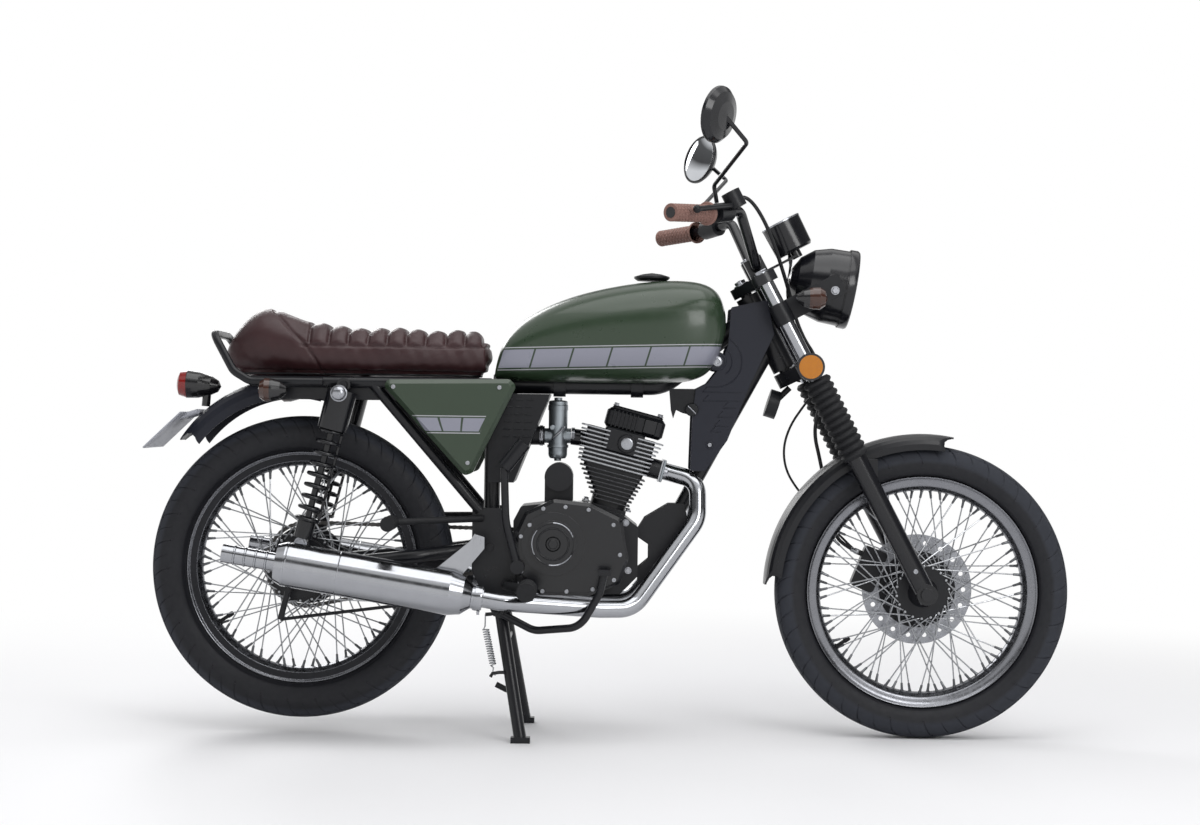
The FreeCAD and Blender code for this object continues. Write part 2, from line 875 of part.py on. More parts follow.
def brake_disc():
    """A drilled ring whose inner edge bolts to the hub's carrier."""
    owner = body("brake_disc_form")
    blank = sketch_on(owner, "disc_blank", "XZ_Plane")
    ring(blank, ZERO, ZERO, S.disc_radius)
    ring(blank, ZERO, ZERO, S.disc_bore_radius)
    pad(owner, blank, S.disc_thick)
    holes = sketch_on(owner, "disc_holes", "XZ_Plane")
    ring(holes, (S.disc_radius + S.disc_carrier_radius) / 2, ZERO, S.disc_hole_radius)
    doc.recompute()
    drilled = pocket(owner, holes, S.disc_thick * 3, both_ways=True)
    circle = owner.newObject("PartDesign::PolarPattern", "disc_hole_ring")
    circle.Originals = [drilled]
    circle.Axis = (holes, ["N_Axis"])
    bind(circle, "Occurrences", S.disc_hole_count)
    owner.Tip = circle
    return owner


def rear_hub():
    """The brake drum on the right and the sprocket carrier on the left."""
    flange_out = S.hub_half_width + S.hub_flange_thick / 2
    flange_in = S.hub_half_width - S.hub_flange_thick / 2
    bore = S.axle_radius + S.running_gap
    seat = S.chain_line - S.sprocket_thick / 2
    boss = S.hub_waist_radius * 0.62
    drum_end = S.hub_half_width + S.hub_flange_thick * 2
    points = [(-drum_end, bore), (-drum_end, S.rear_drum_radius * 0.86),
              (-flange_out, S.rear_drum_radius * 0.86), (-flange_out, S.rear_drum_radius),
              (-flange_in, S.rear_drum_radius), (-flange_in, S.rear_drum_radius * 0.86),
              (ZERO, S.rear_drum_radius * 0.8), (flange_in, S.hub_waist_radius),
              (flange_in, S.rear_drum_radius), (flange_out, S.rear_drum_radius),
              (flange_out, S.hub_waist_radius), (seat, S.hub_waist_radius), (seat, boss),
              (S.arm_half - S.arm_radius - S.seat_gap, boss), (S.arm_half - S.arm_radius - S.seat_gap, bore)]
    return turned("rear_hub_form", points)


def front_wheel():
    place(node(tyre("front_tyre_form", S.front_tyre_radius, S.front_tyre_width), "front_tyre"),
          front_axle_x, ZERO, front_axle_height)
    place(node(laced_rim("front_rim_form", S.hub_half_width, S.hub_radius - S.spoke_size),
               "front_rim"), front_axle_x, ZERO, front_axle_height)
    place(node(front_hub(), "front_hub"), front_axle_x, ZERO, front_axle_height)
    place(node(brake_disc(), "brake_disc"), front_axle_x, S.disc_offset + S.disc_thick / 2,
          front_axle_height)


def sprocket(name, radius, bore):
    """A toothed wheel on the chain line, its teeth cut as notches in a disc."""
    owner = body(name)
    blank = sketch_on(owner, name + "_blank", "XZ_Plane")
    ring(blank, ZERO, ZERO, radius)
    ring(blank, ZERO, ZERO, bore)
    pad(owner, blank, S.sprocket_thick)
    return owner


def rear_wheel():
    place(node(tyre("rear_tyre_form", S.rear_tyre_radius, S.rear_tyre_width), "rear_tyre"),
          rear_axle_x, ZERO, rear_axle_height)
    place(node(laced_rim("rear_rim_form", S.hub_half_width, S.rear_drum_radius - S.spoke_size),
               "rear_rim"), rear_axle_x, ZERO, rear_axle_height)
    wheel = sprocket("rear_sprocket_form", S.rear_sprocket_radius, S.hub_waist_radius * 0.5)
    place(wheel, ZERO, S.chain_line + S.sprocket_thick / 2, ZERO)
    place(node(fuse("rear_hub_solid", [rear_hub(), wheel]), "rear_hub"),
          rear_axle_x, ZERO, rear_axle_height)


# Steering. These pieces are made along the fork: X ahead of it, Z up it from the axle.

lower_clamp_top = S.lower_clamp_reach + S.clamp_thick / 2
upper_clamp_base = S.upper_clamp_reach - S.upper_clamp_thick / 2
upper_clamp_top = S.upper_clamp_reach + S.upper_clamp_thick / 2
bar_reach = upper_clamp_top + S.bar_seat_rise


def clamp(name, base, thick):
    """One fork yoke: a web between two ears, bored for the tubes."""
    rear = -S.fork_offset - S.clamp_ear_radius * 0.7
    ahead = S.clamp_ear_radius * 0.4
    inside = S.clamp_ear_radius * 0.8
    web = prism(name + "_web", [(rear, -inside), (rear, inside), (-ahead, S.fork_half_gap),
                                (ahead, S.fork_half_gap), (ahead, -S.fork_half_gap),
                                (-ahead, -S.fork_half_gap)], thick, "XY_Plane")
    place(web, ZERO, ZERO, base + thick / 2)
    ears = []
    bores = []
    for side in (-1, 1):
        centre = (ZERO, side * S.fork_half_gap, base + thick / 2)
        tag = "%s_%d" % (name, side + 1)
        ears.append(drum(tag + "_ear", centre, (0, 0, 1), S.clamp_ear_radius, thick))
        bores.append(drum(tag + "_bore", centre, (0, 0, 1), S.fork_tube_radius + S.seat_gap, thick * 2))
    boss = drum(name + "_boss", (-S.fork_offset, ZERO, base + thick / 2), (0, 0, 1),
                S.clamp_ear_radius, thick)
    return cut(name, fuse(name + "_solid", [web, boss] + ears), group(name + "_bores", bores))


def fork_clamps():
    lower = clamp("lower_clamp", S.lower_clamp_reach - S.clamp_thick / 2, S.clamp_thick)
    upper = clamp("upper_clamp", upper_clamp_base, S.upper_clamp_thick)
    stem = rod("steering_stem", (-S.fork_offset, ZERO, S.lower_clamp_reach),
               (-S.fork_offset, ZERO, S.upper_clamp_reach), S.stem_radius)
    risers = []
    for side in (-1, 1):
        foot = block("riser_%d" % (side + 1),
                     (-S.bar_clamp_radius, side * S.bar_clamp_half - S.bar_clamp_thick / 2,
                      upper_clamp_top - S.seat_gap), S.bar_clamp_radius * 2, S.bar_clamp_thick,
                     S.bar_seat_rise + S.bar_clamp_radius)
        risers.append(foot)
    seat = drum("bar_seat_bore", (ZERO, ZERO, bar_reach), (0, 1, 0), S.bar_radius + S.seat_gap,
                S.fork_half_gap * 2)
    risers_cut = cut("bar_clamps", group("bar_clamp_blocks", risers), seat)
    on_steering(node(fuse("fork_clamps_form", [lower, upper, stem, risers_cut] + reflectors()),
                     "fork_clamps"))


def fork_legs():
    tubes = []
    legs = []
    gaiters = []
    for side in (-1, 1):
        tag = "right" if side < 0 else "left"
        y = side * S.fork_half_gap
        tubes.append(rod("fork_tube_" + tag, (ZERO, y, S.slider_top + S.seat_gap),
                         (ZERO, y, upper_clamp_top + S.seat_gap * 3), S.fork_tube_radius))
        legs.append(rod("slider_" + tag, (ZERO, y, -S.slider_drop), (ZERO, y, S.slider_top),
                        S.slider_radius))
        legs.append(drum("slider_lug_" + tag, (ZERO, y, ZERO), (0, 1, 0), S.slider_radius * 1.05,
                         S.slider_radius * 1.9))
        nut_y = S.fork_half_gap + S.slider_radius * 0.95 + S.axle_nut_thick / 2 - S.seat_gap
        legs.append(drum("axle_nut_" + tag, (ZERO, side * nut_y, ZERO), (0, 1, 0), S.axle_nut_radius,
                         S.axle_nut_thick))
        gaiters.append(gaiter("gaiter_" + tag, y))
    legs.append(rod("front_axle", (ZERO, -S.fork_half_gap, ZERO), (ZERO, S.fork_half_gap, ZERO),
                    S.axle_radius))
    legs.append(gland("cable_gland_low", SPEED_CABLE_ROUTE[-1], SPEED_CABLE_ROUTE[-2]))
    on_steering(node(group("fork_tubes_form", tubes), "fork_tubes"))
    on_steering(node(fuse("fork_sliders_form", legs), "fork_sliders"))
    on_steering(node(group("fork_gaiters_form", gaiters), "fork_gaiters"))


def gaiter(name, y):
    """A ribbed rubber sleeve between the slider and the lower yoke."""
    base = S.slider_top + S.seat_gap
    length = S.gaiter_top - S.slider_top
    pitch = length / float(S.gaiter_rib_count)
    inner = S.fork_tube_radius + S.seat_gap
    points = [(inner, base)]
    for index in range(int(S.gaiter_rib_count)):
        low = base + index * pitch
        points.append((S.gaiter_waist_radius, low))
        points.append((S.gaiter_radius, low + pitch * 0.35))
        points.append((S.gaiter_radius, low + pitch * 0.65))
    points.append((S.gaiter_waist_radius, base + length))
    points.append((inner, base + length))
    return place(turned(name, points, "XZ_Plane", "V_Axis"), ZERO, y, ZERO)


def handlebar():
    half = [(S.bar_rise_forward * 0, S.bar_centre_half, bar_reach),
            (S.bar_rise_forward, S.bar_shoulder_half, bar_reach + S.bar_rise),
            (-S.bar_sweep_back, S.bar_flange_half, bar_reach + S.bar_flange_rise),
            (-S.bar_end_back, S.bar_end_half, bar_reach + S.bar_end_rise)]
    right = [(x, -y, z) for x, y, z in reversed(half)]
    on_steering(node(bent_tube("handlebar_form", right + half, S.bar_radius, S.bar_bend_radius),
                     "handlebar"))


def bar_run(side, start_share, end_share, inner=False):
    """Two places along one straight stretch of the handlebar."""
    shoulder = (S.bar_rise_forward, side * S.bar_shoulder_half, bar_reach + S.bar_rise)
    flange = (-S.bar_sweep_back, side * S.bar_flange_half, bar_reach + S.bar_flange_rise)
    end = (-S.bar_end_back, side * S.bar_end_half, bar_reach + S.bar_end_rise)
    low, high = (shoulder, flange) if inner else (flange, end)
    places = []
    for share in (start_share, end_share):
        places.append(tuple(a + (b - a) * share for a, b in zip(low, high)))
    return places


def grips():
    pieces = []
    for side in (-1, 1):
        tag = "right" if side < 0 else "left"
        start, end = bar_run(side, 0.10, 0.995)
        flange_start, flange_end = bar_run(side, 0.10, 0.15)
        rubber = rod("grip_rubber_" + tag, start, end, S.grip_radius)
        collar = rod("grip_collar_" + tag, flange_start, flange_end, S.grip_flange_radius)
        run = vector(end) - vector(start)
        run.normalize()
        reach = run * float(S.cut_overrun)
        bore = rod("grip_bore_" + tag, tuple(vector(start) - reach), tuple(vector(end) + reach),
                   S.bar_radius + S.seat_gap)
        pieces.append(cut("grip_" + tag, fuse("grip_solid_" + tag, [rubber, collar]), bore))
    on_steering(node(group("grips_form", pieces), "grips"))


def controls():
    """Switch housings, brake reservoir and the two hand levers."""
    pieces = []
    for side in (-1, 1):
        tag = "right" if side < 0 else "left"
        start, end = bar_run(side, 0.42, 0.88, inner=True)
        housing = rod("switch_" + tag, start, end, S.switch_radius)
        middle = [(a + b) / 2 for a, b in zip(start, end)]
        ahead = S.reservoir_forward
        pivot = (middle[0] + ahead, middle[1], middle[2])
        arm = rod("lever_bracket_" + tag, (middle[0] + S.bar_radius + S.switch_radius / 4, middle[1],
                                           middle[2]), pivot, S.lever_radius * 1.4)
        tip = (-S.bar_end_back + ahead * 1.5, side * (S.bar_end_half - S.bar_radius),
               bar_reach + S.bar_end_rise - S.grip_radius)
        blade = rod("lever_" + tag, pivot, tip, S.lever_radius)
        ball = doc.addObject("Part::Sphere", "lever_ball_" + tag)
        bind(ball, "Radius", S.lever_radius * 1.5)
        ball.Placement = FreeCAD.Placement(vector(tip), FreeCAD.Rotation())
        parts = [housing, arm, blade, ball]
        if side < 0:
            cup = drum("reservoir", (pivot[0], pivot[1], pivot[2] + S.reservoir_depth / 3), (0, 0, 1),
                       S.reservoir_radius, S.reservoir_depth)
            parts.append(cup)
            parts.append(gland("hose_gland_top", BRAKE_HOSE_ROUTE[0], BRAKE_HOSE_ROUTE[1]))
        bore = rod("switch_bore_" + tag, *bar_run(side, ZERO, 1.0, inner=True), S.bar_radius + S.seat_gap)
        pieces.append(cut("control_" + tag, fuse("control_solid_" + tag, parts), bore))
    on_steering(node(group("controls_form", pieces), "controls"))


def mirror_place():
    """The mirror's centre, given along the fork."""
    back = S.mirror_x - front_axle_x
    up = S.mirror_height - front_axle_height
    return (back * steer_cos + up * steer_sin, S.mirror_half, up * steer_cos - back * steer_sin)


def mirror_look(side):
    """Where a mirror faces: back, inward and slightly up, given along the fork."""
    inward = math.radians(float(S.mirror_turn))
    upward = math.radians(float(S.mirror_tilt))
    x = -math.cos(inward) * math.cos(upward)
    z = math.cos(inward) * math.sin(upward)
    return V(x * steer_cos + z * steer_sin, -side * math.sin(inward), z * steer_cos - x * steer_sin)


def mirrors():
    heads = []
    glasses = []
    centre = mirror_place()
    for side in (-1, 1):
        tag = "right" if side < 0 else "left"
        depth = S.mirror_depth
        radius = S.mirror_radius
        glass = S.mirror_glass_thick
        profile = [(ZERO, -glass - S.seat_gap), (radius * 0.93, -glass - S.seat_gap),
                   (radius * 0.93, ZERO), (radius, ZERO), (radius, -depth * 0.25),
                   (radius * 0.84, -depth * 0.66), (radius * 0.5, -depth * 0.92), (ZERO, -depth)]
        head = turned("mirror_head_" + tag, profile, "XZ_Plane", "V_Axis")
        pane = turned("mirror_pane_" + tag, [(ZERO, -glass), (radius * 0.925, -glass),
                                             (radius * 0.925, ZERO), (ZERO, ZERO)], "XZ_Plane", "V_Axis")
        turn_back = FreeCAD.Rotation(V(0, 0, 1), mirror_look(side))
        where = vector((centre[0], side * centre[1], centre[2]))
        for thing in (head, pane):
            thing.Placement = FreeCAD.Placement(where, turn_back)
        start, end = bar_run(side, 0.42, 0.88, inner=True)
        middle = [(a + b) / 2 for a, b in zip(start, end)]
        root = (middle[0], middle[1], middle[2] + S.switch_radius + S.mirror_stem_radius * 0.6)
        knee = (middle[0] + S.switch_radius / 2, middle[1] + side * S.switch_radius / 2,
                middle[2] + (centre[2] - middle[2]) * 0.34)
        elbow = (centre[0] + depth * 1.3, side * (centre[1] - radius * 0.6),
                 middle[2] + (centre[2] - middle[2]) * 0.55)
        back_of_head = where + turn_back.multVec(V(0, 0, float(-depth * 0.8)))
        stem = bent_tube("mirror_stem_" + tag, [root, knee, elbow, tuple(back_of_head)],
                         S.mirror_stem_radius, S.mirror_stem_radius * 3)
        heads.append(fuse("mirror_" + tag, [head, stem]))
        glasses.append(pane)
    on_steering(node(group("mirrors_form", heads + glasses), "mirrors"))


def instrument():
    """A round clock in a deep cup, carried ahead of the upper yoke."""
    radius = S.dial_radius
    depth = S.dial_depth
    profile = [(ZERO, -depth), (radius * 0.86, -depth), (radius * 0.94, -depth * 0.92),
               (radius * 0.98, ZERO), (radius * 0.88, ZERO), (radius * 0.86, -S.dial_rim),
               (ZERO, -S.dial_rim)]
    cup = place(turned("dial_cup", profile, "XZ_Plane", "V_Axis"), S.dial_forward, ZERO, S.dial_reach)
    base = upper_clamp_top + S.seat_gap
    plate = block("dial_bracket", (-S.bar_radius, -S.dial_radius / 2, base),
                  S.dial_forward + S.bar_radius, S.dial_radius, S.headlamp_bracket_thick)
    post = drum("dial_post", (S.dial_forward, ZERO, (base + S.dial_reach - depth) / 2),
                (0, 0, 1), radius / 4, S.dial_reach - depth - base + S.headlamp_bracket_thick)
    collar = gland("cable_gland_top", SPEED_CABLE_ROUTE[0], SPEED_CABLE_ROUTE[1])
    on_steering(node(fuse("instrument_form", [cup, plate, post, collar]), "instrument"))


def headlamp():
    """A bowl, its chrome ring, the lens and the mesh guard, all about one axis."""
    radius = S.headlamp_radius
    depth = S.headlamp_depth
    rim_depth = S.headlamp_rim
    wall = S.headlamp_bracket_thick / 2
    bowl = [(-depth, ZERO), (-depth * 0.97, radius * 0.28), (-depth * 0.86, radius * 0.60),
            (-depth * 0.66, radius * 0.85), (-depth * 0.40, radius * 0.97), (-rim_depth, radius * 0.985),
            (-rim_depth, ZERO)]
    glass = [(-rim_depth + S.seat_gap, ZERO), (-rim_depth + S.seat_gap, radius * 0.90),
             (-wall, radius * 0.90), (wall * 1.5, radius * 0.6), (wall * 3, ZERO)]
    hoop = [(-rim_depth - S.seat_gap, radius * 0.90 + S.seat_gap),
            (-rim_depth - S.seat_gap, radius), (wall * 1.6, radius), (wall * 2.4, radius * 0.93),
            (wall, radius * 0.90 + S.seat_gap)]
    shapes = [turned(name, points, "XZ_Plane", "H_Axis")
              for name, points in (("headlamp_bowl", bowl), ("headlamp_hoop", hoop),
                                   ("headlamp_glass", glass))]
    centre = on_fork(S.headlamp_forward, ZERO, S.headlamp_reach)
    side_bolts = []
    for side in (-1, 1):
        side_bolts.append(rod("headlamp_bolt_%d" % (side + 1),
                              (-depth * 0.35, side * radius * 0.9, ZERO),
                              (-depth * 0.35, side * (radius + S.headlamp_bracket_thick / 2
                                                      - S.seat_gap), ZERO),
                              S.headlamp_bracket_thick * 1.8))
    shell = fuse("headlamp_shell", shapes[:2] + side_bolts)
    for form, name in ((shell, "headlamp"), (shapes[2], "headlamp_lens")):
        place(node(form, name), centre[0], centre[1], centre[2], S.headlamp_droop)


def headlamp_brackets():
    """Ears from the fork tubes to the lamp, with the front turn lamps on them."""
    ears = []
    lamps = []
    for side in (-1, 1):
        tag = "right" if side < 0 else "left"
        y = side * (S.headlamp_radius + S.headlamp_bracket_thick)
        low = S.front_lamp_reach - S.headlamp_bracket_width / 2
        ear = block("lamp_ear_" + tag, (S.fork_tube_radius + S.seat_gap,
                                        y - S.headlamp_bracket_thick / 2, low),
                    S.headlamp_forward - S.fork_tube_radius * 2, S.headlamp_bracket_thick,
                    S.headlamp_bracket_width)
        collar = drum("lamp_collar_" + tag, (ZERO, side * S.fork_half_gap, S.front_lamp_reach),
                      (0, 0, 1), S.fork_tube_radius + S.headlamp_bracket_thick,
                      S.headlamp_bracket_width)
        bore = drum("lamp_collar_bore_" + tag, (ZERO, side * S.fork_half_gap, S.front_lamp_reach),
                    (0, 0, 1), S.fork_tube_radius + S.seat_gap, S.headlamp_bracket_width * 2)
        ears.append(cut("lamp_bracket_" + tag, fuse("lamp_bracket_solid_" + tag, [ear, collar]), bore))
        face = y + side * (S.headlamp_bracket_thick / 2 + S.seat_gap)
        stalk = rod("front_lamp_stalk_" + tag, (S.front_lamp_forward, face, S.front_lamp_reach),
                    (S.front_lamp_forward, face + side * (S.front_lamp_stalk + S.front_lamp_radius),
                     S.front_lamp_reach), S.front_lamp_radius / 3)
        bullet = bullet_lamp("front_lamp_" + tag, S.front_lamp_length, S.front_lamp_radius)
        bullet.Placement = FreeCAD.Placement(
            vector((S.front_lamp_forward, face + side * (S.front_lamp_stalk + S.front_lamp_radius),
                    S.front_lamp_reach)), FreeCAD.Rotation(V(0, 1, 0), float(S.rake_angle)))
        lamps.append(fuse("front_turn_lamp_" + tag, [stalk, bullet]))
    on_steering(node(group("headlamp_brackets_form", ears), "headlamp_brackets"))
    on_steering(node(group("front_turn_lamps_form", lamps), "front_turn_lamps"))


def bullet_lamp(name, length, radius):
    """A small lamp with a pointed shell behind and a domed lens ahead, along X."""
    profile = [(-length / 2, ZERO), (-length * 0.46, radius * 0.34), (-length * 0.26, radius * 0.76),
               (length * 0.02, radius * 0.97), (length * 0.26, radius), (length * 0.30, radius * 0.93),
               (length * 0.42, radius * 0.72), (length / 2, ZERO)]
    return turned(name, profile, "XZ_Plane", "H_Axis")


def reflectors():
    discs = []
    for side in (-1, 1):
        tag = "right" if side < 0 else "left"
        y = side * (S.fork_half_gap + S.clamp_ear_radius + S.reflector_thick / 2 - S.seat_gap)
        discs.append(drum("reflector_" + tag, (ZERO, y, S.lower_clamp_reach), (0, 1, 0),
                          S.reflector_radius, S.reflector_thick))
    return discs


def guard_section(radius, half, skirt):
    """A mudguard's cross-section: domed on top, with its sides turned down."""
    wall = S.guard_wall
    side = [(across * half, radius - drop * skirt) for across, drop in GUARD_SECTION_SHARES]
    inside = [(across * (half - wall), radius - wall - drop * (skirt - wall))
              for across, drop in GUARD_SECTION_SHARES]
    outer = side + [(ZERO, radius)] + [(-y, z) for y, z in reversed(side)]
    inner = inside + [(ZERO, radius - wall)] + [(-y, z) for y, z in reversed(inside)]
    return outer + list(reversed(inner))


def rounded_guard(name, radius, half, skirt, first, sweep):
    """A mudguard turned about the wheel, with both its ends rounded off."""
    section = guard_section(radius, half, skirt)
    tip = half * GUARD_TIP_SHARE / radius * DEGREES
    shell = [place(turned(name + "_run", section, angle=sweep - tip * 2), turn=first + tip)]
    centre = radius - skirt
    last = first + sweep - tip
    for tag, begin, angle in (("rear", first, first + tip), ("front", last, last)):
        end = place(turned("%s_end_%s" % (name, tag), section, angle=tip), turn=begin)
        ball = doc.addObject("Part::Sphere", "%s_round_%s" % (name, tag))
        bind(ball, "Radius", half * GUARD_ROUND_SHARE)
        place(ball, sine(angle) * centre, ZERO, cosine(angle) * centre)
        rounded = doc.addObject("Part::MultiCommon", "%s_tip_%s" % (name, tag))
        rounded.Shapes = [end, ball]
        shell.append(rounded)
    return fuse(name, shell)


def front_guard():
    """A curved front mudguard with turned-down sides and its stays."""
    shell = rounded_guard("front_guard_shell", S.guard_radius, S.guard_half_width, S.guard_skirt,
                          S.guard_turn, S.guard_sweep)
    bars = []
    for side in (-1, 1):
        tag = "right" if side < 0 else "left"
        bars.append(guard_stay("guard_stay_" + tag, side))
    place(node(fuse("front_guard_form", [shell] + bars), "front_guard"),
          front_axle_x, ZERO, front_axle_height)


def guard_stay(name, side):
    """A flat stay from the mudguard's side to the slider."""
    reach = S.slider_top * 0.78
    x = -reach * steer_sin
    z = reach * steer_cos
    inner = S.guard_half_width - S.guard_wall / 2
    outer = S.fork_half_gap - S.slider_radius - S.seat_gap
    return block(name, (x - S.guard_stay_radius * 3, ZERO + (inner if side > 0 else -outer),
                        z - S.guard_stay_radius), S.guard_stay_radius * 6, outer - inner,
                 S.guard_skirt * 1.9)


def front_caliper():
    """A caliper astride the disc on a flat bracket from the left slider."""
    angle = S.caliper_angle
    radius = S.disc_carrier_radius + S.caliper_disc_gap + S.caliper_height / 2
    outer = S.fork_half_gap - S.slider_radius - S.seat_gap
    x = cosine(angle) * radius
    z = sine(angle) * radius
    owner = prism("caliper_block", [(-S.caliper_height / 2, -S.caliper_length / 2),
                                    (S.caliper_height / 2, -S.caliper_length / 2),
                                    (S.caliper_height / 2, S.caliper_length / 2),
                                    (-S.caliper_height / 2, S.caliper_length / 2)],
                  outer - S.caliper_inner, rounding=S.caliper_height / 6)
    place(owner, x, (outer + S.caliper_inner) / 2, z, -angle)
    gap = S.disc_thick / 2 + S.caliper_disc_gap
    reach = S.disc_radius + S.caliper_disc_gap
    slot = turned("caliper_slot", [(-gap, ZERO), (gap, ZERO), (gap, reach), (-gap, reach)])
    place(slot, ZERO, S.disc_offset, ZERO)
    low = S.disc_offset + gap
    plate = block("caliper_bracket", (x, low, z - S.caliper_height * 0.1),
                  -x - S.slider_radius * 0.2, outer - low, S.caliper_height * 0.5)
    collar = group("hose_gland_low_held", [gland("hose_gland_low", BRAKE_HOSE_ROUTE[-1],
                                                 BRAKE_HOSE_ROUTE[-2])])
    place(collar, turn=-S.rake_angle)
    solid = cut("front_caliper_form", fuse("caliper_solid", [owner, plate, collar]), slot)
    place(node(solid, "front_caliper"), front_axle_x, ZERO, front_axle_height)


def hose_and_cable():
    """The brake hose to the caliper and the cable from the clock to the left slider."""
    on_steering(node(cord("brake_hose_form", BRAKE_HOSE_ROUTE, S.hose_radius), "brake_hose"))
    on_steering(node(cord("speed_cable_form", SPEED_CABLE_ROUTE, S.cable_radius), "speed_cable"))


# Frame. Everything below is made in place, in the bike's own axes.

head_base = lower_clamp_top + S.head_lug_gap
head_crown = upper_clamp_base - S.head_lug_gap
tank_front_x = front_axle_x - S.tank_setback
tank_rear_x = tank_front_x - S.tank_length
seat_front_x = tank_rear_x - S.seat_tank_gap
seat_rear_x = seat_front_x - S.seat_length
rail_height = S.seat_base_height - S.rail_radius - S.seat_gap
rail_web_middle = S.rail_half - S.rail_radius * 0.8


def frame_plate():
    """The flat plates either side that carry the pivots, as one outline."""
    top = S.frame_plate_top
    low = S.stand_pivot_height - S.stand_boss_radius
    back = S.frame_plate_back
    front = S.frame_plate_front
    depth = top - low
    return [(back, top), (front - (front - back) * 0.35, top), (front, top - depth * 0.40),
            (front, low + depth * 0.16), (front - (front - back) * 0.14, low),
            (S.stand_pivot_x - S.stand_boss_radius, low), (back, top - depth * 0.58)]


def main_frame():
    pieces = []
    low = on_fork(-S.fork_offset, ZERO, head_base)
    high = on_fork(-S.fork_offset, ZERO, head_crown)
    pieces.append(rod("head_tube", low, high, S.head_tube_radius))
    spine_top = on_fork(-S.fork_offset, ZERO, S.backbone_head_reach)
    spine = [spine_top, (S.backbone_bend_x, ZERO, S.backbone_height),
             (S.seat_tube_top_x, ZERO, S.backbone_height)]
    pieces.append(bent_tube("backbone", spine, S.backbone_radius, S.backbone_bend_radius))
    down_top = on_fork(-S.fork_offset, ZERO, S.downtube_head_reach)
    pieces.append(rod("downtube", down_top, (S.downtube_foot_x, ZERO, S.downtube_foot_height),
                      S.downtube_radius))
    inside = S.shroud_half - S.shroud_wall - S.seat_gap
    for tag, x, z in (("low", S.shroud_bolt_x, S.shroud_bolt_height), ("high", S.shroud_stay_x,
                                                                       S.shroud_stay_height)):
        pieces.append(rod("shroud_stay_" + tag, (x, -inside, z), (x, inside, z), S.shroud_stay_radius))
    cross_height = S.pivot_height + S.pivot_radius * 3.1
    pieces.append(rod("seat_tube", (S.seat_tube_top_x, ZERO, S.backbone_height),
                      (S.pivot_x, ZERO, cross_height), S.seat_tube_radius))
    for number, share in enumerate(TANK_PAD_SHARES):
        pieces.append(drum("tank_pad_%d" % number, (tank_rear_x + S.tank_length * share, ZERO,
                                                    S.backbone_height), (1, 0, 0),
                           S.backbone_radius + S.tunnel_gap - S.seat_gap, S.tank_pad_length))
    plate_face = S.case_half_width + S.seat_gap
    for side in (-1, 1):
        tag = "right" if side < 0 else "left"
        sheet_metal = prism("frame_plate_" + tag, frame_plate(), S.frame_plate_thick, both_ways=True)
        place(sheet_metal, ZERO, side * (plate_face + S.frame_plate_thick / 2), ZERO)
        pieces.append(sheet_metal)
        pieces.extend(side_rail(tag, side))
        brace_top = (S.brace_top_x, side * S.rail_half, rail_height)
        brace_foot = (S.brace_foot_x, side * (plate_face + S.frame_plate_thick / 2), S.brace_foot_height)
        pieces.append(rod("brace_" + tag, brace_top, brace_foot, S.brace_radius))
        pieces.append(rod("shock_stud_" + tag, (S.shock_top_x, side * S.rail_half, rail_height
                                                - S.rail_radius * 0.5),
                          (S.shock_top_x, side * (S.shock_half + S.shock_eye_width / 2
                                                  + S.axle_nut_thick), rail_height
                           - S.rail_radius * 0.5), S.axle_radius))
    reach = plate_face + S.frame_plate_thick / 2
    pieces.append(rod("cross_tube_low", (S.pivot_x, -reach, cross_height), (S.pivot_x, reach, cross_height),
                      S.seat_tube_radius))
    reach = plate_face + S.frame_plate_thick + S.stand_boss_length + S.seat_gap * 2
    pieces.append(rod("stand_shaft", (S.stand_pivot_x, -reach - S.stand_leg_radius - S.axle_nut_thick * 2,
                                      S.stand_pivot_height),
                      (S.stand_pivot_x, reach, S.stand_pivot_height), S.stand_shaft_radius))
    pieces.append(rod("pivot_bolt", (S.pivot_x, -plate_face - S.frame_plate_thick * 2, S.pivot_height),
                      (S.pivot_x, plate_face + S.frame_plate_thick * 2, S.pivot_height),
                      S.axle_radius))
    for number, x in enumerate((S.rail_cross_x, S.seat_tube_top_x)):
        pieces.append(rod("rail_cross_%d" % number, (x, -S.rail_half, rail_height),
                          (x, S.rail_half, rail_height), S.rail_radius * 0.9))
    solid = fuse("main_frame_solid", pieces + engine_mounts())
    bore = rod("head_bore", on_fork(-S.fork_offset, ZERO, head_base - S.cut_overrun),
               on_fork(-S.fork_offset, ZERO, head_crown + S.cut_overrun),
               S.stem_radius + S.running_gap)
    node(cut("main_frame_form", solid, bore), "main_frame")


def side_rail(tag, side):
    """One seat rail: a tube with a deep web below it, rounded at its rear end."""
    tube = rod("rail_" + tag, (S.seat_tube_top_x, side * S.rail_half, rail_height),
               (S.rail_end_x, side * S.rail_half, rail_height), S.rail_radius)
    low = rail_height - S.rail_web_depth
    front = S.seat_tube_top_x - S.rail_radius * 2
    points = [(front, rail_height), (front, low),
              (S.rail_end_x + S.rail_web_depth * 1.6, low),
              (S.rail_end_x + S.rail_web_depth * 0.6, low + S.rail_web_depth * 0.3),
              (S.rail_end_x + S.rail_radius * 0.4, rail_height)]
    web = prism("rail_web_" + tag, points, S.rail_radius)
    return [tube, place(web, ZERO, side * rail_web_middle, ZERO)]


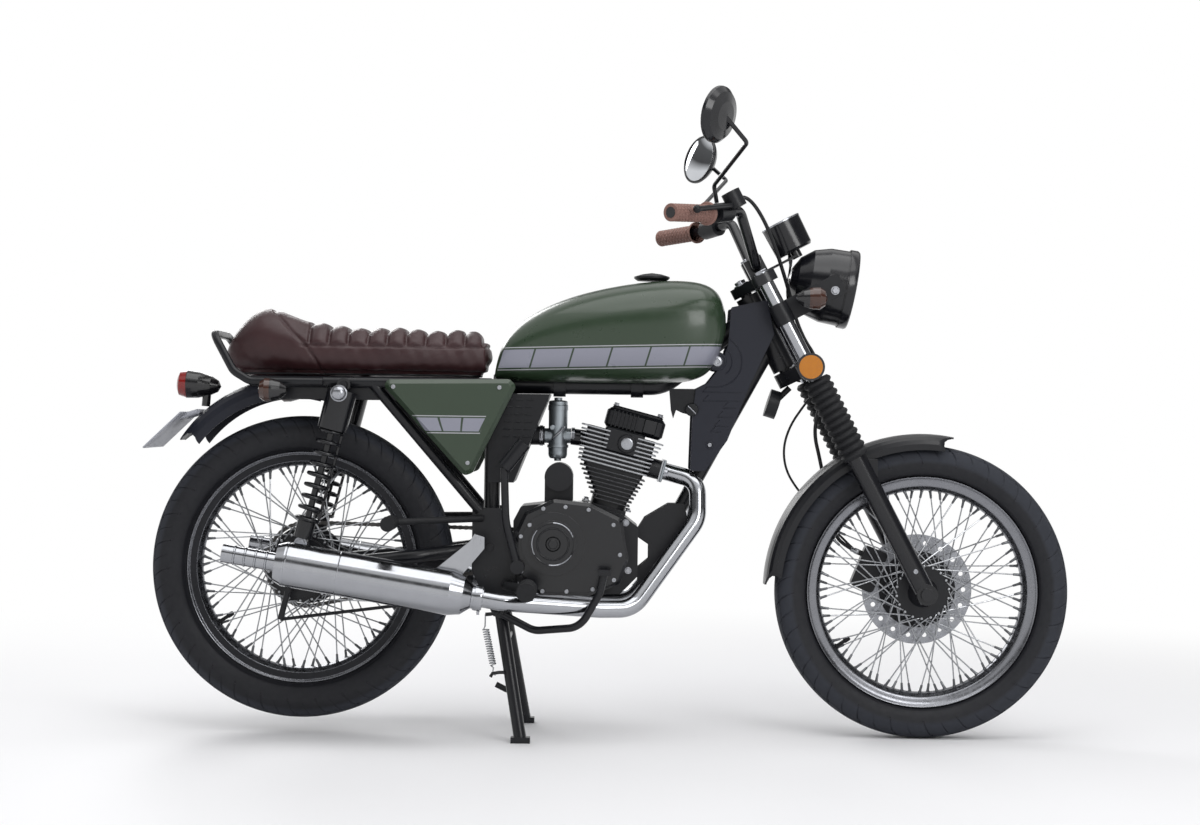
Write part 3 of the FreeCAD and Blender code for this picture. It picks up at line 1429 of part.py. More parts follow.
def engine_mounts():
    """Two plates that hang the engine's nose from the downtube."""
    plates = []
    foot_x = S.downtube_foot_x
    foot_z = S.downtube_foot_height
    face = S.engine_front_x + S.seat_gap
    round_out = S.case_round
    low = S.engine_base_height
    for side in (-1, 1):
        tag = "right" if side < 0 else "left"
        points = [(foot_x + S.downtube_radius * 1.3, foot_z + S.downtube_radius * 2),
                  (foot_x - S.downtube_radius, foot_z + S.downtube_radius * 2),
                  (face + round_out, foot_z), (face, low + S.case_height * 0.72),
                  (face, low + S.case_height * 0.62),
                  (face + round_out * 1.6, low + S.case_height * 0.54),
                  (face + round_out * 1.6, low + S.case_height * 0.38),
                  (face, low + S.case_height * 0.28), (face, low + S.case_height * 0.10),
                  (face + round_out * 1.2, low + S.case_height * 0.06),
                  (foot_x + S.downtube_radius * 1.9, foot_z - S.downtube_radius)]
        form = prism("engine_plate_" + tag, points, S.engine_plate_thick)
        plates.append(place(form, ZERO, side * (S.engine_plate_half + S.engine_plate_thick / 2), ZERO))
    plates.append(rod("engine_plate_spacer", (foot_x, -S.engine_plate_half, foot_z),
                      (foot_x, S.engine_plate_half, foot_z), S.downtube_radius))
    return plates


# Bodywork. The tank and the seat are skinned over cross-sections along their length.

WAIST_SHARE = 0.46
CROWN_SHARE = 0.75
BASE_SHARE = 0.6


def section_ring(x, half_width, base, top):
    """One closed cross-section: full at the sides, flatter below, domed above."""
    middle = base + (top - base) * WAIST_SHARE
    points = []
    count = int(S.section_point_count)
    for index in range(count):
        angle = 2 * math.pi * index / count
        across = math.cos(angle)
        rise = math.sin(angle)
        power = CROWN_SHARE if rise > 0 else BASE_SHARE
        y = half_width * math.copysign(abs(across) ** CROWN_SHARE, across)
        lift = (top - middle) if rise > 0 else (middle - base)
        points.append(V(x, y, middle + lift * math.copysign(abs(rise) ** power, rise)))
    curve = Part.BSplineCurve()
    curve.interpolate(points, PeriodicFlag=True)
    return Part.Wire([curve.toShape()])


def skinned(name, stations):
    """A solid skinned over closed cross-sections."""
    form = doc.addObject("Part::Feature", name)
    rings = [section_ring(*[float(value) for value in station]) for station in stations]
    form.Shape = Part.makeLoft(rings, True, False)
    return form


def fuel_tank():
    stations = []
    for along_share, top, low, wide in zip(TANK_STATION_SHARES, TANK_TOP_SHARES, TANK_BASE_SHARES,
                                           TANK_WIDTH_SHARES):
        stations.append((tank_rear_x + S.tank_length * along_share, S.tank_half_width * wide,
                         S.tank_base_height + S.tank_height * low,
                         S.tank_base_height + S.tank_height * top))
    form = skinned("fuel_tank_form", stations)
    roof = S.backbone_radius + S.tunnel_gap
    spine_top = on_fork(-S.fork_offset, ZERO, S.backbone_head_reach)
    bottom = S.tank_base_height - S.tank_height
    points = [(tank_rear_x - S.cut_overrun, bottom), (tank_front_x + S.cut_overrun, bottom),
              (spine_top[0], spine_top[2] + roof * 1.4), (spine_top[0] - S.tank_setback * 0.2,
                                                          spine_top[2] + roof * 0.6),
              (S.backbone_bend_x - roof * 0.5, S.backbone_height + roof * 1.3),
              (S.backbone_bend_x - S.backbone_bend_radius, S.backbone_height + roof),
              (tank_rear_x - S.cut_overrun, S.backbone_height + roof)]
    tunnel = prism("tank_tunnel", points, roof * 2)
    node(cut("fuel_tank_solid", form, tunnel), "fuel_tank")


def fuel_cap():
    radius = S.tank_cap_radius
    rise = S.tank_cap_height
    profile = [(ZERO, ZERO), (radius * 0.82, ZERO), (radius * 0.90, rise * 0.12), (radius, rise * 0.30),
               (radius, rise * 0.52), (radius * 0.55, rise * 0.82), (ZERO, rise)]
    cap = turned("fuel_cap_form", profile, "XZ_Plane", "V_Axis")
    place(node(cap, "fuel_cap"), tank_front_x - S.tank_cap_back, ZERO,
          S.tank_base_height + S.tank_height + S.seat_gap)


def seat():
    stations = []
    for along_share, top, low, wide in zip(SEAT_STATION_SHARES, SEAT_TOP_SHARES, SEAT_BASE_SHARES,
                                           SEAT_WIDTH_SHARES):
        stations.append((seat_front_x - S.seat_length * along_share, S.seat_half_width * wide,
                         S.seat_base_height + S.seat_height * low,
                         S.seat_base_height + S.seat_height * top))
    node(skinned("seat_form", stations), "seat")


def share_outline(shares, x, z, length, height):
    """Outline points from shares of a length and a height, from a lowest corner."""
    return [(x + across * length, z + rise * height) for across, rise in shares]


def side_covers():
    low = S.cover_top_height - S.cover_height
    points = share_outline(COVER_OUTLINE_SHARES, S.cover_front_x - S.cover_length, low,
                           S.cover_length, S.cover_height)
    panels = []
    for side in (-1, 1):
        tag = "right" if side < 0 else "left"
        panel = prism("side_cover_" + tag, points, S.cover_thick, rounding=S.cover_round)
        bevelled(panel, side * S.cover_thick / 2, S.cover_bevel)
        panels.append(place(panel, ZERO, side * S.cover_half, ZERO))
    node(group("side_covers_form", panels), "side_covers")


throat_height = S.carb_base_height + S.carb_height * 0.42


def airbox():
    low = S.airbox_top_height - S.airbox_height
    points = share_outline(AIRBOX_OUTLINE_SHARES, S.airbox_front_x - S.airbox_length, low,
                           S.airbox_length, S.airbox_height)
    case = prism("airbox_case", points, S.airbox_half * 2)
    slot = block("airbox_slot", (S.airbox_front_x - S.airbox_length * 2, -(S.seat_tube_radius + S.seat_gap),
                                 low - S.cut_overrun),
                 S.airbox_length * 2 + S.seat_tube_top_x + S.seat_tube_radius + S.seat_gap * 4
                 - S.airbox_front_x, (S.seat_tube_radius + S.seat_gap) * 2, S.airbox_height * 2)
    duct = rod("airbox_duct", (S.carb_x - S.airbox_length * 0.6, ZERO, throat_height),
               (S.carb_x - S.carb_radius * 1.4 - S.seat_gap, ZERO, throat_height), S.intake_radius * 1.25)
    node(fuse("airbox_form", [cut("airbox_shell", case, slot), duct]), "airbox")


def shroud():
    """Two moulded cheeks either side of the head and the downtube."""
    points = share_outline(SHROUD_OUTLINE_SHARES, S.shroud_back_x, S.shroud_base_height,
                           S.shroud_length, S.shroud_height)
    cheeks = []
    for side in (-1, 1):
        tag = "right" if side < 0 else "left"
        cheek = prism("shroud_" + tag, points, S.shroud_wall, rounding=S.shroud_wall)
        cheeks.append(place(cheek, ZERO, side * (S.shroud_half - S.shroud_wall / 2), ZERO))
    node(group("shroud_form", cheeks), "shroud")


# Engine. The case, its covers, and the cylinder that leans ahead.

def crankcase():
    points = share_outline(CASE_OUTLINE_SHARES, S.engine_front_x - S.case_length,
                           S.engine_base_height, S.case_length, S.case_height)
    case = prism("case_block", points, S.case_half_width * 2, rounding=S.case_round / 2)
    pocket_gap = S.cut_overrun
    room = rod("sprocket_room", (S.front_sprocket_x, S.chain_line - S.chain_width / 2 - pocket_gap,
                                 S.front_sprocket_height),
               (S.front_sprocket_x, S.case_half_width * 2, S.front_sprocket_height),
               S.front_sprocket_radius + S.chain_height + pocket_gap)
    shaft = rod("sprocket_shaft", (S.front_sprocket_x, ZERO, S.front_sprocket_height),
                (S.front_sprocket_x, S.chain_line + S.sprocket_thick / 2, S.front_sprocket_height),
                S.front_sprocket_radius * 0.4)
    wheel = rod("front_sprocket", (S.front_sprocket_x, S.chain_line - S.sprocket_thick / 2,
                                   S.front_sprocket_height),
                (S.front_sprocket_x, S.chain_line + S.sprocket_thick / 2, S.front_sprocket_height),
                S.front_sprocket_radius)
    hollowed = cut("case_hollowed", case, room)
    deck = block("cylinder_deck", (-S.barrel_fin_length / 2, -S.barrel_fin_width / 2, -S.barrel_radius),
                 S.barrel_fin_length, S.barrel_fin_width, S.barrel_radius - S.seat_gap)
    held = cylinder_frame(group("cylinder_deck_held", [deck]))
    node(fuse("crankcase_form", [hollowed, shaft, wheel, starter(), held]), "crankcase")


def clutch_cover():
    points = share_outline(CLUTCH_OUTLINE_SHARES, S.clutch_cover_back_x, S.engine_base_height,
                           S.clutch_cover_length, S.clutch_cover_height)
    face = -(S.case_half_width + S.seat_gap)
    shell = prism("clutch_shell", points, S.cover_depth, rounding=S.case_round)
    bevelled(shell, -S.cover_depth / 2, S.case_round / 2)
    place(shell, ZERO, face - S.cover_depth / 2, ZERO)
    outer = face - S.cover_depth
    boss = rod("clutch_boss", (S.crank_x, face, S.crank_height),
               (S.crank_x, outer - S.clutch_cap_depth * 0.4, S.crank_height), S.clutch_boss_radius)
    cap = rod("clutch_cap", (S.crank_x, face, S.crank_height),
              (S.crank_x, outer - S.clutch_cap_depth, S.crank_height), S.clutch_cap_radius)
    return fuse("clutch_cover", [shell, boss, cap])


def generator_cover():
    face = S.case_half_width + S.seat_gap
    bell = turned("generator_bell", [(ZERO, ZERO), (ZERO, S.generator_radius),
                                     (S.generator_depth * 0.6, S.generator_radius),
                                     (S.generator_depth * 0.9, S.generator_radius * 0.88),
                                     (S.generator_depth, S.generator_radius * 0.7),
                                     (S.generator_depth, ZERO)])
    place(bell, S.generator_x, face, S.crank_height)
    return bell


def engine_covers():
    node(group("engine_covers_form", [clutch_cover(), generator_cover()]), "engine_covers")


def cylinder_frame(thing):
    """Stand a piece made about the cylinder's own axis on the case."""
    return place(thing, S.cylinder_base_x, ZERO, S.cylinder_base_height, S.cylinder_lean)


def on_cylinder(ahead, side, rise):
    """World place of a point given in the leaning cylinder's own axes."""
    lean_cos = cosine(S.cylinder_lean)
    lean_sin = sine(S.cylinder_lean)
    return (S.cylinder_base_x + ahead * lean_cos + rise * lean_sin, side,
            S.cylinder_base_height - ahead * lean_sin + rise * lean_cos)


def fin_stack(name, length, width, base, count, shift):
    """A stack of thin plates, one above another."""
    owner = body(name)
    half_length = length / 2
    half_width = width / 2
    points = [(shift - half_length, -half_width), (shift + half_length, -half_width),
              (shift + half_length, half_width), (shift - half_length, half_width)]
    sketch = outline(owner, name + "_fin", "XY_Plane", points)
    fin = pad(owner, sketch, S.fin_thick)
    doc.recompute()
    rounded = owner.newObject("PartDesign::Fillet", name + "_corners")
    rounded.Base = (fin, side_edges(fin.Shape, V(0, 0, 1)))
    bind(rounded, "Radius", S.fin_pitch)
    place(owner, ZERO, ZERO, base)
    copies = doc.addObject("Part::Feature", name + "_stack")
    doc.recompute()
    plates = []
    for index in range(int(count)):
        plate = owner.Shape.copy()
        plate.translate(V(0, 0, float(S.fin_pitch) * index))
        plates.append(plate)
    copies.Shape = Part.makeCompound(plates)
    return copies


def cylinder():
    base = ZERO
    barrel = rod("barrel", (ZERO, ZERO, base), (ZERO, ZERO, S.barrel_height), S.barrel_radius)
    fins = fin_stack("barrel_fins", S.barrel_fin_length, S.barrel_fin_width, S.fin_pitch,
                     S.barrel_fin_count, ZERO)
    cylinder_frame(node(fuse("cylinder_form", [barrel, fins]), "cylinder"))


port_face = S.head_shift + S.head_fin_length / 2 + S.seat_gap


def cylinder_head():
    base = S.barrel_height + S.seat_gap
    core = block("head_core", (S.head_shift - S.head_core_length / 2, -S.head_core_width / 2, base),
                 S.head_core_length, S.head_core_width, S.head_height)
    fins = fin_stack("head_fins", S.head_fin_length, S.head_fin_width, base + S.fin_thick,
                     S.head_fin_count, S.head_shift)
    top = base + S.head_height
    length = S.rocker_length
    rise = S.rocker_height
    back = S.head_shift - length * 0.5
    ahead = S.head_shift + length * 0.5
    points = [(back, top - S.fin_thick), (ahead, top - S.fin_thick), (ahead, top + rise * 0.55),
              (ahead - length * 0.18, top + rise * 0.80), (back + length * 0.10, top + rise * 0.80),
              (back, top + rise * 0.45)]
    cover = prism("rocker_cover", points, S.rocker_width, rounding=S.fin_thick * 2)
    core_front = S.head_shift + S.head_core_length / 2
    boss = block("exhaust_boss", (core_front - S.fin_pitch, -S.port_flange_half,
                                  S.port_rise - S.port_flange_height / 2),
                 port_face - core_front + S.fin_pitch, S.port_flange_half * 2, S.port_flange_height)
    carb_face = S.carb_x + S.carb_radius * 1.4 + S.seat_gap
    throat = bent_tube("intake_stub", [(carb_face, ZERO, throat_height),
                                       (carb_face + S.intake_radius, ZERO, throat_height),
                                       on_cylinder(S.head_shift - S.head_core_length * 0.4, ZERO,
                                                   S.port_rise * 1.04)],
                       S.intake_radius, S.header_bend_radius)
    head = cylinder_frame(fuse("cylinder_head_solid", [core, fins, cover, boss]))
    node(fuse("cylinder_head_form", [head, throat]), "cylinder_head")


def starter():
    motor = rod("starter_form", (S.starter_x, -S.starter_length * 0.7, S.starter_height),
                (S.starter_x, S.starter_length * 0.3, S.starter_height), S.starter_radius)
    saddle = block("starter_saddle", (S.starter_x - S.starter_radius, -S.starter_length * 0.4,
                                      S.engine_base_height + S.case_height * 0.9),
                   S.starter_radius * 2, S.starter_length * 0.5,
                   S.starter_height - S.engine_base_height - S.case_height * 0.9)
    return fuse("starter", [motor, saddle])


def carburettor():
    bowl = rod("carb_body", (S.carb_x, ZERO, S.carb_base_height),
               (S.carb_x, ZERO, S.carb_base_height + S.carb_height), S.carb_radius)
    throat = rod("carb_throat", (S.carb_x - S.carb_radius * 1.4, ZERO, throat_height),
                 (S.carb_x + S.carb_radius * 1.4, ZERO, throat_height), S.intake_radius)
    node(fuse("carburettor_form", [bowl, throat]), "carburettor")


def headers():
    """Two pipes from one port flange, down ahead of the engine and back beneath it."""
    pieces = []
    lead = S.header_bend_radius
    face = port_face + S.seat_gap
    for side in (-1, 1):
        tag = "right" if side < 0 else "left"
        points = [on_cylinder(face, side * S.port_half, S.port_rise),
                  on_cylinder(face + S.header_radius, side * S.port_half, S.port_rise),
                  on_cylinder(face + S.header_knee_reach, side * S.header_knee_half, S.port_rise),
                  (S.header_front_x, side * S.header_front_half, S.header_front_height),
                  (S.header_heel_x, side * S.header_heel_half, S.header_low_height),
                  (S.header_low_x, side * S.header_low_half, S.header_low_height),
                  (S.muffler_front_x + lead * cosine(S.muffler_slope), side * S.muffler_half,
                   S.muffler_front_height - lead * sine(S.muffler_slope)),
                  (S.muffler_front_x, side * S.muffler_half, S.muffler_front_height)]
        pieces.append(bent_tube("header_" + tag, points, S.header_radius, S.header_bend_radius))
    flange = block("port_flange", (face, -S.port_flange_half, S.port_rise - S.port_flange_height / 2),
                   S.port_flange_thick, S.port_flange_half * 2, S.port_flange_height)
    held = cylinder_frame(group("port_flange_held", [flange]))
    node(fuse("exhaust_headers_form", pieces + [held]), "exhaust_headers")


def muffler(tag, side):
    length = S.muffler_length
    radius = S.muffler_radius
    tail = S.tail_pipe_radius
    neck = S.muffler_neck_radius
    end = length + S.tail_pipe_length
    profile = [(ZERO, S.header_radius + S.seat_gap), (ZERO, neck), (radius * 0.5, neck),
               (radius * 0.9, radius * 0.86), (radius * 1.5, radius), (length * 0.96, radius),
               (length, radius * 0.84), (length, tail), (end, tail), (end, tail - S.tail_pipe_wall),
               (length * 0.7, tail - S.tail_pipe_wall), (length * 0.7, ZERO),
               (radius, ZERO), (radius, S.header_radius + S.seat_gap)]
    owner = turned("muffler_%s_form" % tag, profile, "XZ_Plane", "H_Axis")
    owner.Placement = FreeCAD.Placement(
        V(float(S.muffler_front_x + S.header_radius * cosine(S.muffler_slope)),
          side * float(S.muffler_half),
          float(S.muffler_front_height - S.header_radius * sine(S.muffler_slope))),
        FreeCAD.Rotation(V(0, 1, 0), 180 + float(S.muffler_slope)))
    return owner


def hanger(tag, side):
    """A flat strap from the silencer's shoulder up to a bolt in the frame plate."""
    top_x = S.frame_plate_back + S.hanger_width * 0.5
    top_z = S.hanger_height
    foot_x = S.muffler_front_x - S.muffler_radius * 1.5
    foot_z = S.muffler_front_height + S.muffler_radius * 0.9
    half = S.hanger_width / 2
    points = [(top_x + half, top_z + half * 0.6), (top_x - half * 0.4, top_z + half), (top_x - half, top_z),
              (foot_x - half * 2, foot_z), (foot_x - half * 2, foot_z - half * 2),
              (foot_x + half, foot_z - half * 2), (top_x + half, top_z - half)]
    strap = prism("hanger_strap_" + tag, points, S.hanger_thick)
    place(strap, ZERO, side * S.hanger_half, ZERO)
    plate_out = S.case_half_width + S.frame_plate_thick + S.seat_gap * 2
    bolt = rod("hanger_bolt_" + tag, (top_x, side * plate_out, top_z),
               (top_x, side * (S.hanger_half + S.axle_nut_thick), top_z), S.axle_radius)
    return [strap, bolt]


def mufflers():
    sides = []
    for tag, side in (("right", -1), ("left", 1)):
        sides.append(fuse("muffler_" + tag, [muffler(tag, side)] + hanger(tag, side)))
    node(group("mufflers_form", sides), "mufflers")


# Rear end: swingarm, shocks, chain drive and brake.

def swingarm():
    pieces = []
    cross_half = S.case_half_width + S.seat_gap - S.seat_gap * 2
    pieces.append(rod("swingarm_cross", (S.pivot_x, -cross_half, S.pivot_height),
                      (S.pivot_x, cross_half, S.pivot_height), S.pivot_radius))
    inner = cross_half - S.arm_radius * 1.1
    for side in (-1, 1):
        tag = "right" if side < 0 else "left"
        points = [(S.pivot_x, side * inner, S.pivot_height),
                  (S.pivot_x - S.arm_half * 0.8, side * inner, S.pivot_height - S.arm_radius * 0.7),
                  (S.pivot_x - S.arm_half * 1.6, side * S.arm_half, S.pivot_height - S.arm_radius * 1.3),
                  (rear_axle_x - S.arm_radius, side * S.arm_half, rear_axle_height)]
        pieces.append(bent_tube("arm_" + tag, points, S.arm_radius, S.arm_half))
        pieces.append(drum("arm_end_" + tag, (rear_axle_x, side * S.arm_half, rear_axle_height),
                           (0, 1, 0), S.arm_radius * 1.35, S.arm_radius * 1.9))
        stud_end = S.shock_half + S.shock_eye_width / 2 + S.axle_nut_thick
        pieces.append(rod("shock_foot_stud_" + tag, (S.shock_foot_x, side * S.arm_half, S.shock_foot_height),
                          (S.shock_foot_x, side * stud_end, S.shock_foot_height), S.axle_radius))
        pieces.append(rod("shock_foot_lug_" + tag, (S.shock_foot_x, side * S.arm_half, rear_axle_height),
                          (S.shock_foot_x, side * S.arm_half, S.shock_foot_height), S.arm_radius * 0.8))
    reach = S.arm_half + S.arm_radius + S.axle_nut_thick
    pieces.append(rod("rear_axle", (rear_axle_x, -reach, rear_axle_height),
                      (rear_axle_x, reach, rear_axle_height), S.axle_radius))
    bore = rod("pivot_bore", (S.pivot_x, -S.arm_half * 2, S.pivot_height),
               (S.pivot_x, S.arm_half * 2, S.pivot_height), S.axle_radius + S.seat_gap)
    node(cut("swingarm_form", fuse("swingarm_solid", pieces), bore), "swingarm")


def shock_axis(side):
    low = V(float(S.shock_foot_x), side * float(S.shock_half), float(S.shock_foot_height))
    high = V(float(S.shock_top_x), side * float(S.shock_half), float(rail_height - S.rail_radius * 0.5))
    run = high - low
    length = run.Length
    run.normalize()
    return low, high, run, length


def shocks():
    """A damper body and rod between two eyes, under a black can, with a coil spring."""
    dampers = []
    springs = []
    for side in (-1, 1):
        tag = "right" if side < 0 else "left"
        low, high, run, length = shock_axis(side)
        parts = []
        for end, centre in (("foot", low), ("top", high)):
            parts.append(drum("shock_%s_%s" % (end, tag), tuple(centre), (0, 1, 0), S.shock_eye_radius,
                              S.shock_eye_width))
        can_base = high - run * float(S.shock_can_length)
        cap = high - run * float(S.shock_eye_radius * 0.8)
        parts.append(rod("shock_can_" + tag, tuple(can_base), tuple(cap), S.shock_can_radius))
        parts.append(rod("shock_rod_" + tag, tuple(low), tuple(cap), S.shock_rod_radius))
        body_top = low + run * float(S.shock_eye_radius * 3.4)
        parts.append(rod("shock_body_" + tag, tuple(low + run * float(S.shock_eye_radius * 0.8)),
                         tuple(body_top), S.shock_body_radius))
        solid = fuse("shock_solid_" + tag, parts)
        bores = [drum("shock_bore_%s_%s" % (end, tag), tuple(centre), (0, 1, 0),
                      S.axle_radius + S.seat_gap, S.shock_eye_width * 2)
                 for end, centre in (("foot", low), ("top", high))]
        dampers.append(cut("shock_" + tag, solid, group("shock_bores_" + tag, bores)))
        springs.append(coil("shock_spring_" + tag, body_top + run * float(S.spring_wire + S.seat_gap),
                            can_base - run * float(S.spring_wire + S.seat_gap), run))
    node(group("shocks_form", dampers + springs), "shocks")


def coil(name, start, end, run):
    """A coil spring made as one ring for each turn, joined by a slim backbone of wire."""
    span = (end - start).Length
    count = int(S.spring_turns)
    pitch = span / (count - 1)
    rings = []
    middle = float(S.spring_radius - S.spring_wire)
    for index in range(count):
        centre = start + run * (pitch * index)
        rings.append(Part.makeTorus(middle, float(S.spring_wire), centre, run))
    spine = Part.makeCylinder(float(S.spring_wire) * 0.8, span, V(0, 0, 0), V(0, 0, 1))
    across = facing(run).multVec(V(middle, 0, 0))
    spine.Placement = FreeCAD.Placement(start + across, facing(run))
    form = doc.addObject("Part::Feature", name)
    form.Shape = rings[0].multiFuse(rings[1:] + [spine])
    return form


def chain():
    """The chain as one closed band round both sprockets."""
    inner_front = S.front_sprocket_radius + S.seat_gap
    inner_rear = S.rear_sprocket_radius + S.seat_gap
    loops = []
    for grow in (S.chain_height, ZERO):
        loops.append(belt_face(inner_front + grow, inner_rear + grow))
    outer, inner = loops
    thick = float(S.chain_width)
    band = outer.extrude(V(0, thick, 0)).cut(inner.extrude(V(0, thick, 0)))
    form = doc.addObject("Part::Feature", "drive_chain_form")
    form.Shape = band
    place(form, ZERO, S.chain_line - S.chain_width / 2, ZERO)
    node(form, "drive_chain")


def belt_face(front_radius, rear_radius):
    """The face inside a belt line that wraps two wheels of different size."""
    front = V(float(S.front_sprocket_x), 0, float(S.front_sprocket_height))
    rear = V(float(rear_axle_x), 0, float(rear_axle_height))
    run = front - rear
    span = run.Length
    heading = math.atan2(run.z, run.x)
    lean = math.acos((float(rear_radius) - float(front_radius)) / span)

    def at(centre, radius, angle):
        return centre + V(math.cos(angle), 0, math.sin(angle)) * float(radius)

    top, low = heading + lean, heading - lean
    corners = [at(rear, rear_radius, top), at(front, front_radius, top),
               at(front, front_radius, low), at(rear, rear_radius, low)]
    edges = [Part.LineSegment(corners[0], corners[1]).toShape(),
             Part.Arc(corners[1], at(front, front_radius, heading), corners[2]).toShape(),
             Part.LineSegment(corners[2], corners[3]).toShape(),
             Part.Arc(corners[3], at(rear, rear_radius, heading + math.pi), corners[0]).toShape()]
    return Part.Face(Part.Wire(edges))


def rear_brake():
    """The brake panel with its arm, rod and torque arm on the right of the wheel."""
    drum_end = -(S.hub_half_width + S.hub_flange_thick * 2 + S.seat_gap)
    panel = rod("brake_panel", (rear_axle_x, drum_end, rear_axle_height),
                (rear_axle_x, drum_end - S.brake_panel_thick, rear_axle_height), S.rear_drum_radius * 0.84)
    spacer = rod("brake_panel_boss", (rear_axle_x, drum_end, rear_axle_height),
                 (rear_axle_x, -(S.arm_half - S.arm_radius - S.seat_gap), rear_axle_height),
                 S.axle_radius * 1.8)
    cam_x = rear_axle_x - S.rear_drum_radius * 0.3
    cam_z = rear_axle_height - S.rear_drum_radius * 0.6
    arm_y = drum_end - S.brake_panel_thick - S.arm_radius * 2.3
    cam = rod("brake_cam", (cam_x, drum_end, cam_z), (cam_x, arm_y - S.brake_arm_thick, cam_z),
              S.brake_arm_width * 0.4)
    arm_low = (cam_x - S.brake_arm_length * 0.25, arm_y, cam_z - S.brake_arm_length)
    arm = rod("brake_arm", (cam_x, arm_y, cam_z), arm_low, S.brake_arm_width * 0.4)
    foot = (S.stand_pivot_x - S.stand_boss_radius * 2, arm_y, S.stand_pivot_height + S.stand_boss_radius * 2)
    pull = rod("brake_rod", arm_low, foot, S.brake_rod_radius)
    bore = rod("brake_axle_bore", (rear_axle_x, -S.arm_half, rear_axle_height),
               (rear_axle_x, ZERO, rear_axle_height), S.axle_radius + S.seat_gap)
    solid = fuse("rear_brake_solid", [panel, spacer, cam, arm, pull])
    node(cut("rear_brake_form", solid, bore), "rear_brake")


# Tail.

guard_x = rear_axle_x - S.tail_guard_centre_back
guard_z = rear_axle_height + S.tail_guard_centre_rise


def on_guard(angle, lift):
    """A place on the rear mudguard's crown, from the angle above its tail side."""
    reach = S.tail_guard_radius + lift
    return (guard_x - reach * cosine(angle), ZERO, guard_z + reach * sine(angle))


def tail_guard():
    half = S.tail_guard_half_width
    wall = S.guard_wall
    shell = rounded_guard("tail_guard_shell", S.tail_guard_radius, half, S.tail_guard_skirt,
                          S.tail_guard_turn, S.tail_guard_sweep)
    pieces = [place(shell, guard_x, ZERO, guard_z)]
    for side in (-1, 1):
        inner = half - wall / 2
        outer = rail_web_middle - S.rail_radius / 2 - S.seat_gap
        pieces.append(block("tail_guard_ear_%d" % (side + 1),
                            (guard_x - S.rail_radius * 3, inner if side > 0 else -outer,
                             guard_z + S.tail_guard_radius - S.tail_guard_skirt * 0.85),
                            S.rail_radius * 3, outer - inner, wall * 2))
    node(fuse("rear_guard_form", pieces), "rear_guard")


def grab_rail():
    half = S.grab_half
    base = rail_height
    y = S.rail_half + S.rail_radius + S.grab_radius + S.seat_gap
    side = [(S.brace_top_x - S.rail_half, y, base), (S.rail_end_x, y, base),
            (S.rail_end_x - S.grab_bend_radius, y, base + S.grab_radius * 2.4),
            (S.grab_top_x, half, S.grab_top_height)]
    far = [(x, -across, z) for x, across, z in reversed(side)]
    node(bent_tube("grab_rail_form", side + far, S.grab_radius, S.grab_bend_radius), "grab_rail")


def tail_lamp():
    """A bullet housing with a red lens, on a stem from the mudguard."""
    radius = S.tail_lamp_radius
    length = S.tail_lamp_length
    shell = turned("tail_shell", [(ZERO, ZERO), (ZERO, radius), (length * 0.35, radius * 0.93),
                                  (length * 0.70, radius * 0.68), (length * 0.92, radius * 0.40),
                                  (length, ZERO)], "XZ_Plane", "H_Axis")
    place(shell, S.tail_lamp_x, ZERO, S.tail_lamp_height, S.tail_lamp_tilt)
    stem = rod("tail_stem", on_guard(S.tail_stem_angle, S.tail_stem_radius * 0.8),
               (S.tail_lamp_x + length * 0.6, ZERO, S.tail_lamp_height), S.tail_stem_radius)
    lens_points = [(-S.tail_lens_length, ZERO), (-S.tail_lens_length, radius * 0.55),
                   (-S.tail_lens_length * 0.8, radius * 0.84), (ZERO, radius * 0.97), (ZERO, ZERO)]
    lens = turned("tail_lens", lens_points, "XZ_Plane", "H_Axis")
    place(lens, S.tail_lamp_x, ZERO, S.tail_lamp_height, S.tail_lamp_tilt)
    node(fuse("tail_lamp_form", [shell, stem, lens]), "tail_lamp")


def plate_edge():
    """The number plate's upper edge, from the tail's reach and the plate's slope."""
    low_x = rear_axle_x - S.tail_reach
    return low_x + S.plate_length * cosine(S.plate_slope) + S.plate_thick * sine(S.plate_slope)


def number_plate():
    x = plate_edge()
    plate = block("number_plate_form", (-S.plate_length, -S.plate_width / 2, ZERO), S.plate_length,
                  S.plate_width, S.plate_thick)
    holder = doc.addObject("Part::Compound", "number_plate_holder")
    holder.Links = [plate]
    place(holder, x, ZERO, S.plate_top_height, -S.plate_slope)
    root = on_guard(S.tail_bracket_angle, S.tail_stem_radius * 0.6 + S.seat_gap)
    hold = S.plate_length * 0.2
    tip = (x - hold * cosine(S.plate_slope), ZERO,
           S.plate_top_height - hold * sine(S.plate_slope) + S.tail_stem_radius * 0.6)
    half = S.plate_width * 0.2
    arms = []
    for side in (-1, 1):
        arms.append(rod("plate_arm_%d" % (side + 1), (root[0], side * half, root[2]),
                        (tip[0], side * half, tip[2]), S.tail_stem_radius * 0.6))
    arms.append(rod("plate_arm_cross", (root[0], -half, root[2]), (root[0], half, root[2]),
                    S.tail_stem_radius * 0.6))
    node(fuse("number_plate_solid", arms + [holder]), "number_plate")


